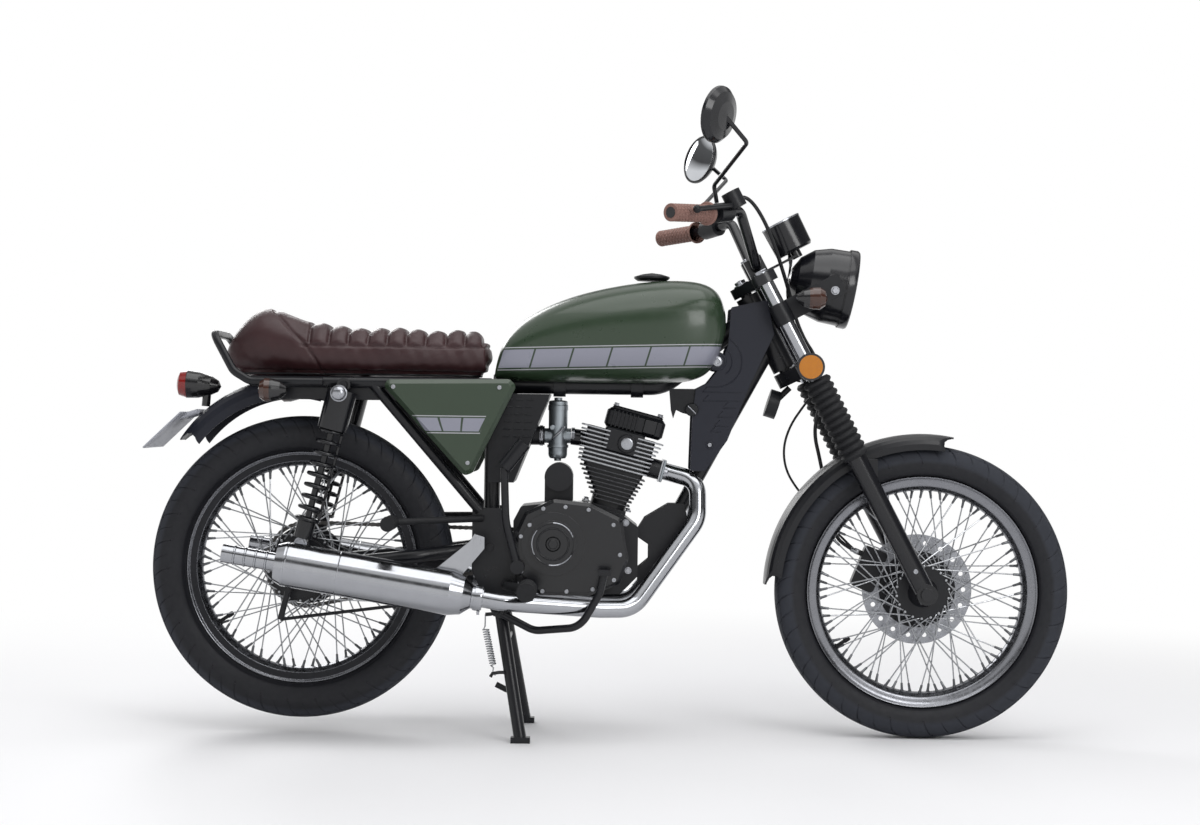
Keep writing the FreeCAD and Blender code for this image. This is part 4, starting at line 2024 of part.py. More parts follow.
def rear_turn_lamps():
    lamps = []
    for side in (-1, 1):
        tag = "right" if side < 0 else "left"
        height = rail_height - S.rail_radius - S.rear_lamp_radius / 4 - S.seat_gap
        stalk = rod("rear_lamp_stalk_" + tag,
                    (S.rear_lamp_x, side * (rail_web_middle + S.rail_radius / 2 + S.seat_gap), height),
                    (S.rear_lamp_x, side * S.rear_lamp_half, height), S.rear_lamp_radius / 4)
        bullet = bullet_lamp("rear_lamp_" + tag, S.rear_lamp_length, S.rear_lamp_radius)
        bullet.Placement = FreeCAD.Placement(
            V(float(S.rear_lamp_x), side * float(S.rear_lamp_half), float(height)),
            FreeCAD.Rotation(V(0, 0, 1), 180))
        lamps.append(fuse("rear_turn_lamp_" + tag, [stalk, bullet]))
    node(group("rear_turn_lamps_form", lamps), "rear_turn_lamps")


# Foot controls and pegs.

def rider_pegs():
    pieces = []
    plate_out = S.case_half_width + S.seat_gap + S.frame_plate_thick + S.seat_gap
    for side in (-1, 1):
        tag = "right" if side < 0 else "left"
        points = [(S.peg_arm_x, side * plate_out, S.peg_arm_height),
                  (S.peg_arm_x, side * S.peg_arm_half, S.peg_arm_height),
                  (S.peg_x, side * (S.peg_half - S.peg_rubber_length), S.peg_height),
                  (S.peg_x, side * (S.peg_half - S.cut_overrun), S.peg_height)]
        arm = bent_tube("peg_arm_" + tag, points, S.peg_radius * 0.7, S.peg_radius * 2)
        rubber = rod("peg_rubber_" + tag,
                     (S.peg_x, side * (S.peg_half - S.peg_rubber_length * 0.8), S.peg_height),
                     (S.peg_x, side * S.peg_half, S.peg_height), S.peg_rubber_radius)
        pieces.append(fuse("rider_peg_" + tag, [arm, rubber]))
    return pieces


def passenger_pegs():
    """Pegs on a V of two rods, from the swingarm plates' upper and rear corners."""
    pieces = []
    for side in (-1, 1):
        tag = "right" if side < 0 else "left"
        root = side * (S.case_half_width + S.seat_gap + S.frame_plate_thick + S.rear_peg_rod_radius
                       + S.seat_gap)
        elbow = (S.rear_peg_x, side * (S.rear_peg_half - S.peg_rubber_length), S.rear_peg_height)
        upper = (S.brace_foot_x - S.rail_half * 0.95, side * S.rail_half, S.brace_foot_height
                 + S.rail_half)
        lower = (S.frame_plate_back + S.brace_radius * 2, root, S.frame_plate_top - S.brace_radius * 2)
        rods = [rod("peg_strut_low_" + tag, elbow, lower, S.rear_peg_rod_radius),
                rod("peg_bar_" + tag, elbow, (S.rear_peg_x, side * S.rear_peg_half, S.rear_peg_height),
                    S.rear_peg_rod_radius),
                rod("rear_peg_rubber_" + tag, (elbow[0], elbow[1] + side * S.rear_peg_rod_radius, elbow[2]),
                    (S.rear_peg_x, side * S.rear_peg_half, S.rear_peg_height), S.rear_peg_radius)]
        pieces.append(fuse("passenger_peg_" + tag, rods))
    return pieces


def foot_pegs():
    node(group("foot_pegs_form", rider_pegs() + passenger_pegs()), "foot_pegs")


pedal_root = S.case_half_width + S.frame_plate_thick + S.stand_boss_length + S.stand_leg_radius * 0.9
pedal_thick = S.axle_nut_thick * 1.6


def brake_pedal():
    root = -pedal_root
    thick = pedal_thick
    boss = rod("pedal_boss", (S.stand_pivot_x, root, S.stand_pivot_height),
               (S.stand_pivot_x, root - thick, S.stand_pivot_height), S.stand_boss_radius)
    y = root - thick / 2
    out = -(S.case_half_width + S.cover_depth + S.clutch_cap_depth + S.header_radius * 2.7)
    points = [(S.stand_pivot_x, y, S.stand_pivot_height - S.foot_rod_radius * 0.5),
              (S.stand_pivot_x + S.header_radius * 4, y - S.header_radius, S.header_low_height
               - S.header_radius * 2.6),
              (S.crank_x + S.clutch_cap_radius * 1.2, out, S.header_low_height - S.header_radius * 1.9),
              (S.crank_x + S.clutch_cap_radius * 2, out, S.header_low_height + S.header_radius * 2),
              (S.crank_x + S.clutch_cap_radius * 2.2, out, S.header_low_height + S.header_radius * 4.5)]
    arm = bent_tube("pedal_arm", points, S.foot_rod_radius, S.clutch_cap_radius)
    tip = points[-1]
    pad_block = block("pedal_pad", (tip[0] - S.peg_radius, tip[1] - S.peg_radius, tip[2] - S.foot_rod_radius),
                      S.peg_radius * 2, S.peg_radius * 2, S.foot_rod_radius * 1.4)
    bore = rod("pedal_bore", (S.stand_pivot_x, ZERO, S.stand_pivot_height),
               (S.stand_pivot_x, root * 2, S.stand_pivot_height), S.stand_shaft_radius + S.seat_gap)
    solid = fuse("brake_pedal_solid", [boss, arm, pad_block])
    node(cut("brake_pedal_form", solid, bore), "brake_pedal")


def kick_lever():
    face = -(S.case_half_width + S.cover_depth + S.seat_gap * 2)
    out = -S.kick_half
    shaft = rod("kick_shaft", (S.kick_shaft_x, face, S.kick_shaft_height),
                (S.kick_shaft_x, out - S.kick_arm_radius * 1.5, S.kick_shaft_height), S.kick_arm_radius * 1.8)
    points = [(S.kick_shaft_x, out, S.kick_shaft_height),
              (S.kick_shaft_x - S.kick_arm_rise * 0.12, out - S.kick_arm_radius,
               S.kick_shaft_height + S.kick_arm_rise * 0.45),
              (S.kick_shaft_x - S.kick_arm_rise * 0.14, out - S.kick_arm_radius * 2,
               S.kick_shaft_height + S.kick_arm_rise)]
    arm = bent_tube("kick_arm", points, S.kick_arm_radius, S.kick_arm_rise)
    top = points[-1]
    pedal = rod("kick_pedal", top, (top[0] + S.kick_pedal_length * 0.62, top[1], top[2]
                                    + S.kick_pedal_length * 0.78), S.kick_pedal_radius)
    node(fuse("kick_lever_form", [shaft, arm, pedal]), "kick_lever")


def gear_lever():
    face = S.case_half_width + S.generator_depth * 0
    out = S.gear_half
    shaft = rod("gear_shaft", (S.gear_shaft_x, face + S.seat_gap, S.gear_shaft_height),
                (S.gear_shaft_x, out, S.gear_shaft_height), S.foot_rod_radius * 1.3)
    tip = (S.gear_shaft_x + S.case_length * 0.45, out + S.foot_rod_radius, S.gear_shaft_height
           + S.foot_rod_radius)
    arm = rod("gear_arm", (S.gear_shaft_x, out - S.foot_rod_radius, S.gear_shaft_height), tip,
              S.foot_rod_radius * 0.8)
    toe = rod("gear_toe", tip, (tip[0], tip[1] + S.peg_radius * 3, tip[2]), S.peg_radius * 0.8)
    node(fuse("gear_lever_form", [shaft, arm, toe]), "gear_lever")


def horn():
    """A round horn on a strap behind the lower yoke, drawn along the fork."""
    centre = (-S.horn_back, ZERO, S.horn_reach)
    disc = drum("horn_disc", centre, (1, 0, -1), S.horn_radius, S.horn_depth)
    strap = rod("horn_strap", centre, (-S.fork_offset - S.clamp_ear_radius * 0.3, ZERO,
                                       S.lower_clamp_reach - S.clamp_thick / 2 - S.axle_radius * 0.8
                                       - S.seat_gap),
                S.axle_radius * 0.8)
    on_steering(node(fuse("horn_form", [disc, strap]), "horn"))


# Centre stand. It is drawn standing, with its feet flat on the ground.

def centre_stand():
    pieces = []
    inner = S.case_half_width + S.frame_plate_thick + S.seat_gap * 2
    middle = inner + S.stand_boss_length / 2
    drop = S.stand_pivot_height
    for side in (-1, 1):
        tag = "right" if side < 0 else "left"
        pieces.append(drum("stand_boss_" + tag, (S.stand_pivot_x, side * middle, S.stand_pivot_height),
                           (0, 1, 0), S.stand_boss_radius, S.stand_boss_length))
        foot = (S.stand_foot_x, side * S.stand_foot_half, S.stand_foot_thick)
        pieces.append(rod("stand_leg_" + tag, (S.stand_pivot_x, side * (middle + S.stand_leg_radius / 4),
                                               S.stand_pivot_height),
                          foot, S.stand_leg_radius))
        pieces.append(block("stand_foot_" + tag, (S.stand_foot_x - S.stand_foot_length / 2,
                                                  side * S.stand_foot_half - S.stand_foot_width / 2, ZERO),
                            S.stand_foot_length, S.stand_foot_width, S.stand_foot_thick * 2))
    share = S.stand_brace_drop / drop
    x = S.stand_pivot_x + (S.stand_foot_x - S.stand_pivot_x) * share
    z = S.stand_pivot_height - S.stand_brace_drop
    y = middle + (S.stand_foot_half - middle) * share
    pieces.append(rod("stand_brace", (x, -y, z), (x, y, z), S.stand_brace_radius))
    rise = S.stand_tang_rise
    share = rise / drop
    x = S.stand_foot_x + (S.stand_pivot_x - S.stand_foot_x) * share
    y = S.stand_foot_half + (middle - S.stand_foot_half) * share
    tang = bent_tube("stand_tang", [(x, y, rise), (x - S.stand_tang_length * 0.5, y, rise),
                                    (x - S.stand_tang_length, y, rise + S.stand_tang_length * 0.25)],
                     S.stand_brace_radius * 0.8, S.stand_tang_length / 2)
    pieces.append(tang)
    solid = fuse("centre_stand_solid", pieces)
    bore = rod("stand_bore", (S.stand_pivot_x, -middle * 2, S.stand_pivot_height),
               (S.stand_pivot_x, middle * 2, S.stand_pivot_height), S.stand_shaft_radius + S.running_gap)
    below = block("stand_underside", (S.stand_foot_x - S.stand_foot_length * 2, -S.stand_foot_half * 2,
                                      -S.stand_pivot_height), S.stand_foot_length * 4, S.stand_foot_half * 4,
                  S.stand_pivot_height)
    tools = fuse("centre_stand_tools", [bore, below])
    node(cut("centre_stand_form", solid, tools), "centre_stand")


def build():
    """Make every sub-part, check it and write its file."""
    front_wheel()
    rear_wheel()
    fork_clamps()
    fork_legs()
    handlebar()
    grips()
    controls()
    mirrors()
    instrument()
    headlamp()
    headlamp_brackets()
    front_guard()
    front_caliper()
    hose_and_cable()
    main_frame()
    fuel_tank()
    fuel_cap()
    seat()
    side_covers()
    airbox()
    shroud()
    crankcase()
    engine_covers()
    cylinder()
    cylinder_head()
    carburettor()
    headers()
    mufflers()
    swingarm()
    shocks()
    chain()
    rear_brake()
    tail_guard()
    grab_rail()
    tail_lamp()
    number_plate()
    rear_turn_lamps()
    foot_pegs()
    brake_pedal()
    kick_lever()
    gear_lever()
    horn()
    centre_stand()
    doc.recompute()


def write_parts():
    """Stop on any failed object, then write one STEP file for each sub-part."""
    bad = [thing.Name for thing in doc.Objects if "Invalid" in thing.State or "Error" in thing.State]
    for thing in NODES:
        shape = thing.Shape
        if shape.isNull() or not shape.isValid() or not shape.Solids:
            bad.append(thing.Label)
    if bad:
        raise RuntimeError("these pieces failed: " + ", ".join(bad))
    os.makedirs("parts", exist_ok=True)
    for thing in NODES:
        thing.Shape.exportStep("parts/%s.step" % thing.Label)
        box = thing.Shape.BoundBox
        print("%-20s solids %3d volume %10.0f  x %6.0f %6.0f y %6.0f %6.0f z %6.0f %6.0f" % (
            thing.Label, len(thing.Shape.Solids), thing.Shape.Volume, box.XMin, box.XMax, box.YMin,
            box.YMax, box.ZMin, box.ZMax))


build()
write_parts()
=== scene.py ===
import json
import math

import bmesh
import bpy
import numpy as np
from mathutils import Matrix, Vector
from mathutils.bvhtree import BVHTree

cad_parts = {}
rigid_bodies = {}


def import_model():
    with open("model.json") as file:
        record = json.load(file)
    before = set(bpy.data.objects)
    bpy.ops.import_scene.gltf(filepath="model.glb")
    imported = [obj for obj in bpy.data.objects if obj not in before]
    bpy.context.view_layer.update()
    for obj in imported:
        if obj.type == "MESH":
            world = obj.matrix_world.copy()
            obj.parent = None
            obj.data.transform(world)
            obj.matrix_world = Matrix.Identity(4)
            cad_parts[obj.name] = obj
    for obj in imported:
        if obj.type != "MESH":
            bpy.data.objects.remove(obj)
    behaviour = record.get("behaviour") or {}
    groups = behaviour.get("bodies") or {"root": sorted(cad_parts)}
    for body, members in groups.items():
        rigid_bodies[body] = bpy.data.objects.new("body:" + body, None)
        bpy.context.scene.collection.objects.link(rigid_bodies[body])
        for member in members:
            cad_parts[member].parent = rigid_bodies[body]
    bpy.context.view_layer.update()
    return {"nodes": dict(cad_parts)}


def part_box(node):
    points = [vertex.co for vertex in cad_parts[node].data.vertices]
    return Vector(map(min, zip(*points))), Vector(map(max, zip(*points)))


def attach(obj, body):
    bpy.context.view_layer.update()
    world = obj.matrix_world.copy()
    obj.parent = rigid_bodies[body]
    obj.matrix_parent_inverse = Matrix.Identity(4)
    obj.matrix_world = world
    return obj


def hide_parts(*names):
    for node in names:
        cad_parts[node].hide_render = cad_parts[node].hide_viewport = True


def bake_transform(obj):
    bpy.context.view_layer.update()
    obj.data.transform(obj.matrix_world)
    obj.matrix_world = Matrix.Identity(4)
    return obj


# Looks of a cafe racer motorcycle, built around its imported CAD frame. Metres; the turned profiles,
# bolt sizes, slabs, rim and the routes of the hose and the cable are in millimetres.
# +X is the front, +Y the left side, +Z up; the camera looks at the right side.

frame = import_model()

# Node materials


LOOKS = {}


class Nodes:
    """The node tree of a material or of the sky."""

    def __init__(self, tree):
        self.tree = tree

    def plug(self, socket, value):
        if isinstance(value, bpy.types.NodeSocket):
            self.tree.links.new(value, socket)
        else:
            socket.default_value = (*value, 1.0) if socket.type == "RGBA" else value

    def add(self, kind, values=(), **settings):
        """A node with its settings, and its inputs given by order, by name or by number."""
        node = self.tree.nodes.new("ShaderNode" + kind)
        for key, value in settings.items():
            setattr(node, key, value)
        for key, value in values.items() if isinstance(values, dict) else enumerate(values):
            self.plug(node.inputs[key], value)
        return node

    def maths(self, operation, *values):
        return self.add("Math", values, operation=operation).outputs[0]

    def mixed(self, share, first, second):
        return self.add("Mix", {0: share, 6: first, 7: second}, data_type="RGBA").outputs[2]

    def seen(self):
        """1 for the rays by which the camera sees, also in mirrors and through glass."""
        path = self.add("LightPath").outputs
        seen = self.maths("MAXIMUM", path["Is Camera Ray"], path["Is Glossy Ray"])
        return self.maths("MAXIMUM", seen, path["Is Transmission Ray"])


class Finish(Nodes):
    """A node material that is built up step by step."""

    def __init__(self, name, colour, roughness, metallic=0.0, level=0.5, coat=0.0, clear=0.0):
        self.material = LOOKS[name] = bpy.data.materials.new(name)
        self.material.use_nodes = True
        self.material.diffuse_color = (*colour, 1.0)
        super().__init__(self.material.node_tree)
        self.shader = self.tree.nodes["Principled BSDF"]
        for key, value in {"Base Color": colour, "Roughness": roughness, "Metallic": metallic,
                           "Specular IOR Level": level, "Coat Weight": coat,
                           "Transmission Weight": clear}.items():
            self.set(key, value)
        if coat:
            self.set("Coat Roughness", 0.12)
        self.place = self.add("TexCoord").outputs["Object"]

    def set(self, key, value):
        self.plug(self.shader.inputs[key], value)

    def vector(self, operation, *values):
        node = self.add("VectorMath", values, operation=operation)
        return node.outputs["Value" if operation in ("LENGTH", "DOT_PRODUCT") else "Vector"]

    def axes(self):
        return tuple(self.add("SeparateXYZ", [self.place]).outputs)

    def noise(self, scale, detail=3.0, rough=0.55, stretch=None):
        where = self.vector("MULTIPLY", self.place, stretch) if stretch else self.place
        return self.add("TexNoise", {"Vector": where, "Scale": scale, "Detail": detail,
                                     "Roughness": rough}).outputs["Fac"]

    def cells(self, scale, feature="DISTANCE_TO_EDGE", randomness=1.0):
        return self.add("TexVoronoi", {"Vector": self.place, "Scale": scale, "Randomness": randomness},
                        feature=feature).outputs["Distance"]

    def spread(self, value, low, high, to_low=0.0, to_high=1.0, smooth=False):
        return self.add("MapRange", {"Value": value, "From Min": low, "From Max": high, "To Min": to_low,
                                     "To Max": to_high},
                        interpolation_type="SMOOTHSTEP" if smooth else "LINEAR").outputs["Result"]

    def between(self, value, low, high, soft=0.0004):
        """1 where the value lies between two limits, with a thin soft edge."""
        above = self.spread(value, low - soft, low + soft)
        below = self.spread(value, high - soft, high + soft, 1.0, 0.0)
        return self.maths("MULTIPLY", above, below)

    def zone(self, mask, colour, roughness=None):
        """Lay another colour or sheen over the finish where the mask is 1."""
        base = self.shader.inputs["Base Color"].links[0].from_socket
        self.set("Base Color", self.mixed(mask, base, colour))
        if roughness is not None:
            base = self.shader.inputs["Roughness"].links[0].from_socket
            self.set("Roughness", self.add("Mix", {0: mask, 2: base, 3: roughness}).outputs[0])
        return self

    def round_zone(self, centre, radius, soft=0.0004):
        """1 within a radius of a Y-wise axis through a point."""
        x, _, z = self.axes()
        across = self.maths("POWER", self.maths("SUBTRACT", x, centre[0]), 2.0)
        up = self.maths("POWER", self.maths("SUBTRACT", z, centre[2]), 2.0)
        reach = self.maths("SQRT", self.maths("ADD", across, up))
        return self.spread(reach, radius - soft, radius + soft, 1.0, 0.0)

    def soft_edge(self, radius):
        return self.add("Bevel", {"Radius": radius}, samples=4).outputs["Normal"]

    def edge_mask(self, radius):
        """1 near a sharp edge and 0 on open faces."""
        soft = self.soft_edge(radius)
        hard = self.add("NewGeometry").outputs["Normal"]
        return self.spread(self.vector("DOT_PRODUCT", soft, hard), 0.995, 0.86)

    def relief(self, height, depth, strength, edge=0.0):
        """Bump of a real depth in metres, over edges softened by a radius."""
        values = {"Strength": strength, "Distance": depth, "Height": height}
        if edge:
            values["Normal"] = self.soft_edge(edge)
        self.set("Normal", self.add("Bump", values).outputs["Normal"])


# Kinds of surface: the noise of its tone, its darkest and lightest tone, the noise of its sheen with the
# shares of the roughness, the noise, depth and strength of its relief, its softened edge and its wear.
KINDS = {
    "paint": dict(cloud=(7, 4), tones=(0.88, 1.12), sheen=(38, 4), sheen_top=0.7, shares=(0.88, 1.14),
                  grain=900, detail=2, depth=0.00006, strength=0.35, edge=0.0012, wear=(260, 0.45, 0.62)),
    "cast": dict(cloud=(16, 5, 0.6), tones=(0.78, 1.22), sheen=(60, 5), sheen_top=0.7, shares=(0.82, 1.2),
                 grain=700, detail=3, depth=0.00016, strength=0.5, edge=0.001, wear=(190, 0.4, 0.6)),
    "polished": dict(cloud=(24, 5, 0.6), tones=(0.82, 1), sheen=(70, 6, 0.65), sheen_top=0.75,
                     shares=(0.7, 1.5), grain=420, detail=3, depth=0.00004, strength=0.25, edge=0.0006,
                     metallic=1.0),
    "moulded": dict(cloud=(30, 5, 0.6), tones=(0.8, 1.25), sheen=(85, 4), sheen_top=0.7, shares=(0.88, 1.1),
                    grain=1400, detail=3, depth=0.00008, strength=0.5, edge=0.0008, level=0.4),
}


def scaled(colour, share):
    return tuple(channel * share for channel in colour)


def surface(kind, name, colour, roughness, worn=None, **changes):
    """A finish of one kind, with uneven tone and sheen, a fine relief and soft or worn edges."""
    look = {**KINDS[kind], **changes}
    basic = {key: look[key] for key in ("metallic", "level", "coat") if key in look}
    finish = Finish(name, colour, roughness, **basic)
    tone = finish.mixed(finish.noise(*look["cloud"]), *(scaled(colour, share) for share in look["tones"]))
    if worn:
        scale, low, high = look["wear"]
        share = finish.maths("MULTIPLY", finish.edge_mask(look["edge"]),
                             finish.spread(finish.noise(scale), low, high))
        tone = finish.mixed(finish.maths("MULTIPLY", share, worn[3]), tone, worn[:3])
    finish.set("Base Color", tone)
    finish.set("Roughness", finish.spread(finish.noise(*look["sheen"]), 0.3, look["sheen_top"],
                                          *(roughness * share for share in look["shares"])))
    finish.relief(finish.noise(look["grain"], look["detail"]), look["depth"], look["strength"], look["edge"])
    return finish


FRAME_BLACK = (0.0062, 0.0066, 0.0088)
GREEN = (0.0225, 0.041, 0.0215)
STEEL_WEAR = (0.1, 0.1, 0.11, 0.45)
BRIGHT_WEAR = (0.22, 0.22, 0.23, 0.6)
FRONT_AXLE = Vector((0.664, 0, 0.311))
REAR_AXLE = Vector((-0.649, 0, 0.348))
RAKE = math.radians(27.9)
FORK_AHEAD = Vector((math.cos(RAKE), 0, math.sin(RAKE)))
FORK_UP = Vector((-math.sin(RAKE), 0, math.cos(RAKE)))
LEAN = math.radians(14.5)
CYLINDER_AXIS = Vector((math.sin(LEAN), 0, math.cos(LEAN)))
CYLINDER_FOOT = Vector((-0.012, 0, 0.486))
BARREL_AHEAD = Vector((CYLINDER_AXIS.z, 0, -CYLINDER_AXIS.x))
SMOKED = (0.062, 0.022, 0.013)
SIDES = (-1, 1)
MM = 0.001


def on_fork(ahead, across, up):
    """World place of a point given along the fork, from the front axle."""
    return FRONT_AXLE + FORK_AHEAD * ahead + Vector((0, across, 0)) + FORK_UP * up


def striped(finish, height, band, lines, within, breaks):
    """A broken grey band between two pale lines, along a direction of height."""
    maths = finish.maths
    inside = maths("MULTIPLY", finish.between(height, *band), within)
    finish.zone(maths("MULTIPLY", inside, maths("SUBTRACT", 1.0, breaks)), (0.235, 0.24, 0.29))
    for low in lines:
        finish.zone(maths("MULTIPLY", finish.between(height, low, low + 0.0018), within), (0.42, 0.42, 0.45))


def tank_paint():
    """Green paint with one grey band, its two pale lines and its slanted breaks."""
    finish = surface("paint", "tank_green", GREEN, 0.3, tones=(0.94, 1.06), coat=0.3, level=0.4)
    maths = finish.maths
    x, y, z = finish.axes()
    height = maths("MULTIPLY_ADD", maths("ADD", x, 0.232), -0.0265, z)
    lean = maths("MULTIPLY_ADD", maths("SUBTRACT", height, 0.773), -0.3, x)
    within = maths("MULTIPLY", finish.spread(lean, -0.2385, -0.2375),
                   finish.spread(maths("ABSOLUTE", y), 0.045, 0.047))
    step = maths("FRACT", maths("DIVIDE", maths("ADD", lean, 0.1734), 0.0804))
    breaks = finish.between(step, 0.0, 0.05, 0.004)
    striped(finish, height, (0.7735, 0.8115), (0.7685, 0.8148), within, breaks)


def cover_paint():
    """The same green with three short grey panels between two pale lines."""
    finish = surface("paint", "cover_green", GREEN, 0.32, tones=(0.94, 1.06), coat=0.3, level=0.4)
    maths = finish.maths
    x, _, z = finish.axes()
    drop = maths("SUBTRACT", 0.6718, z)
    left = maths("MULTIPLY_ADD", drop, 0.883, -0.412)
    right = maths("MULTIPLY_ADD", drop, -0.342, -0.259)
    share = maths("DIVIDE", maths("SUBTRACT", x, left), maths("SUBTRACT", right, left))
    within = finish.between(share, 0.0, 1.0, 0.003)
    step = maths("FRACT", maths("MULTIPLY", maths("ADD", share, maths("MULTIPLY", drop, 1.2)), 3.0))
    breaks = finish.between(step, 0.0, 0.1, 0.01)
    striped(finish, z, (0.6405, 0.668), (0.6358, 0.6709), within, breaks)


def tyre_finish(name, axle, tread_radius):
    """Black tyre rubber whose tread is unevenly paler and rougher than its wall."""
    finish = surface("moulded", name, (0.0075, 0.008, 0.011), 0.6, level=0.35)
    inside = finish.round_zone(axle, tread_radius, 0.004)
    # The ring outside the tread radius gets a paler grey of the rubber's own hue and a higher roughness,
    # varied by noise.
    paler_tread = finish.maths("MULTIPLY", finish.maths("SUBTRACT", 1.0, inside),
                        finish.spread(finish.noise(45.0, 5.0), 0.3, 0.7, 0.65, 1.0))
    finish.zone(paler_tread, (0.026, 0.029, 0.038), 0.78)


def clamp_finish():
    """Black paint with an amber reflector let into each round boss."""
    finish = surface("paint", "clamp_black", FRAME_BLACK, 0.3)
    inside = finish.round_zone(on_fork(0, 0, 0.534), 0.0245)
    outside = finish.spread(finish.maths("ABSOLUTE", finish.axes()[1]), 0.1262, 0.1264)
    facets = finish.cells(420.0, "F1", 0.0)
    amber = finish.mixed(finish.spread(facets, 0.1, 0.7), (0.62, 0.24, 0.012), (0.3, 0.085, 0.003))
    finish.zone(finish.maths("MULTIPLY", inside, outside), amber, 0.12)


def lamp_finish(name, edge, lens, soft):
    """A black lamp shell whose lens starts at a place along X; soft is negative for a rear lamp."""
    finish = surface("paint", name, (0.006, 0.006, 0.007), 0.22, coat=0.3)
    mask = finish.spread(finish.axes()[0], edge - soft, edge + soft)
    ribs = finish.noise(300.0, 2.0, stretch=(0.2, 1.0, 3.0))
    finish.zone(mask, finish.mixed(ribs, lens, scaled(lens, 0.45)), 0.1)


def hide():
    """Oxblood leather: fine grain and creases, with an uneven tone and sheen."""
    finish = Finish("seat_leather", (0.036, 0.0135, 0.015), 0.36, level=0.35)
    cloud = finish.noise(11.0, 5.0, 0.6)
    finish.set("Base Color", finish.mixed(cloud, (0.024, 0.0085, 0.0098), (0.048, 0.019, 0.0205)))
    finish.set("Roughness", finish.spread(finish.noise(70.0, 5.0), 0.3, 0.7, 0.29, 0.46))
    creases = finish.cells(620.0)
    height = finish.maths("MULTIPLY_ADD", finish.noise(240.0, 4.0), 0.6, finish.spread(creases, 0.0, 0.18))
    finish.relief(height, 0.00012, 0.55)


tank_paint()
cover_paint()
clamp_finish()
hide()
tyre_finish("front_tyre_rubber", FRONT_AXLE, 0.276)
tyre_finish("rear_tyre_rubber", REAR_AXLE, 0.3)
lamp_finish("front_turn_lamp_shell", 0.4085, SMOKED, 0.0003)
lamp_finish("rear_turn_lamp_shell", -0.705, SMOKED, -0.0003)
lamp_finish("tail_lamp_shell", -0.9022, (0.3, 0.01, 0.008), -0.0003)
glass = Finish("lens_glass", (0.9, 0.92, 0.93), 0.05, clear=1.0)
glass.set("Roughness", glass.spread(glass.noise(60.0), 0.3, 0.7, 0.03, 0.08))
for look_name, look_kind, look_colour, look_roughness, look_changes in (
        ("frame_paint", "paint", FRAME_BLACK, 0.3, dict(level=0.35)),
        ("gloss_black", "paint", (0.0055, 0.0058, 0.0078), 0.2, dict(level=0.4, coat=0.15)),
        ("satin_blue_black", "paint", (0.0105, 0.012, 0.02), 0.42, dict(level=0.3)),
        ("cover_black", "paint", (0.0052, 0.0055, 0.0072), 0.2, dict(level=0.4, coat=0.2, worn=STEEL_WEAR)),
        ("plate_paint", "paint", (0.33, 0.34, 0.38), 0.5, {}),
        ("engine_black", "cast", (0.006, 0.0064, 0.0086), 0.34, dict(level=0.35, worn=STEEL_WEAR)),
        ("barrel_rim", "cast", (0.03, 0.031, 0.036), 0.36, dict(worn=BRIGHT_WEAR)),
        ("fin_rim", "cast", (0.36, 0.37, 0.39), 0.28, dict(worn=BRIGHT_WEAR)),
        ("bare_alloy", "cast", (0.3, 0.33, 0.355), 0.4, dict(metallic=0.9, grain=480)),
        ("chrome_plate", "polished", (0.42, 0.43, 0.455), 0.15, {}),
        ("bright_steel", "polished", (0.4, 0.41, 0.44), 0.27, {}),
        ("mirror_glass", "polished", (0.62, 0.64, 0.67), 0.04, {}),
        ("chain_steel", "polished", (0.13, 0.125, 0.12), 0.42, {}),
        ("rim_steel", "polished", (0.235, 0.24, 0.26), 0.25, {}),
        ("spoke_steel", "polished", (0.42, 0.43, 0.45), 0.3, {}),
        ("nipple_steel", "polished", (0.15, 0.155, 0.165), 0.36, {}),
        ("black_rubber", "moulded", (0.008, 0.0084, 0.01), 0.62, dict(level=0.3)),
        ("brown_rubber", "moulded", (0.205, 0.11, 0.09), 0.6, {}),
        ("black_plastic", "moulded", (0.0065, 0.007, 0.0088), 0.4, dict(level=0.3)),
        ("seam_thread", "moulded", (0.06, 0.026, 0.026), 0.55, {}),
        ("amber_lens", "moulded", (0.42, 0.125, 0.006), 0.14, {}),
        ("dial_print", "moulded", (0.55, 0.56, 0.58), 0.45, {}),
        ("cable_sheath", "moulded", (0.0075, 0.0078, 0.0092), 0.38, dict(level=0.35))):
    surface(look_kind, look_name, look_colour, look_roughness, **look_changes)

NODES_OF = {
    "front_tyre_rubber": "front_tyre", "rear_tyre_rubber": "rear_tyre", "rim_steel": "front_rim rear_rim",
    "engine_black": "front_hub rear_hub front_caliper crankcase cylinder cylinder_head rear_brake",
    "bright_steel": "brake_disc", "clamp_black": "fork_clamps",
    "chrome_plate": "fork_tubes exhaust_headers mufflers",
    "gloss_black": "fork_sliders handlebar mirrors instrument headlamp shocks",
    "black_rubber": "fork_gaiters foot_pegs", "brown_rubber": "grips",
    "black_plastic": "controls headlamp_brackets fuel_cap airbox horn", "lens_glass": "headlamp_lens",
    "frame_paint": "front_guard main_frame swingarm grab_rail brake_pedal kick_lever gear_lever "
                   "centre_stand",
    "tank_green": "fuel_tank", "seat_leather": "seat", "cover_green": "side_covers",
    "satin_blue_black": "shroud rear_guard", "cover_black": "engine_covers", "bare_alloy": "carburettor",
    "chain_steel": "drive_chain", "plate_paint": "number_plate", "front_turn_lamp_shell": "front_turn_lamps",
    "rear_turn_lamp_shell": "rear_turn_lamps", "tail_lamp_shell": "tail_lamp",
    "cable_sheath": "brake_hose speed_cable",
}
for look_name, node_names in NODES_OF.items():
    for node_name in node_names.split():
        for node_slot in frame["nodes"][node_name].material_slots:
            node_slot.link = "OBJECT"
            node_slot.material = LOOKS[look_name]
print("undressed:", sorted(set(frame["nodes"]) - set(" ".join(NODES_OF.values()).split())))

# Mesh building


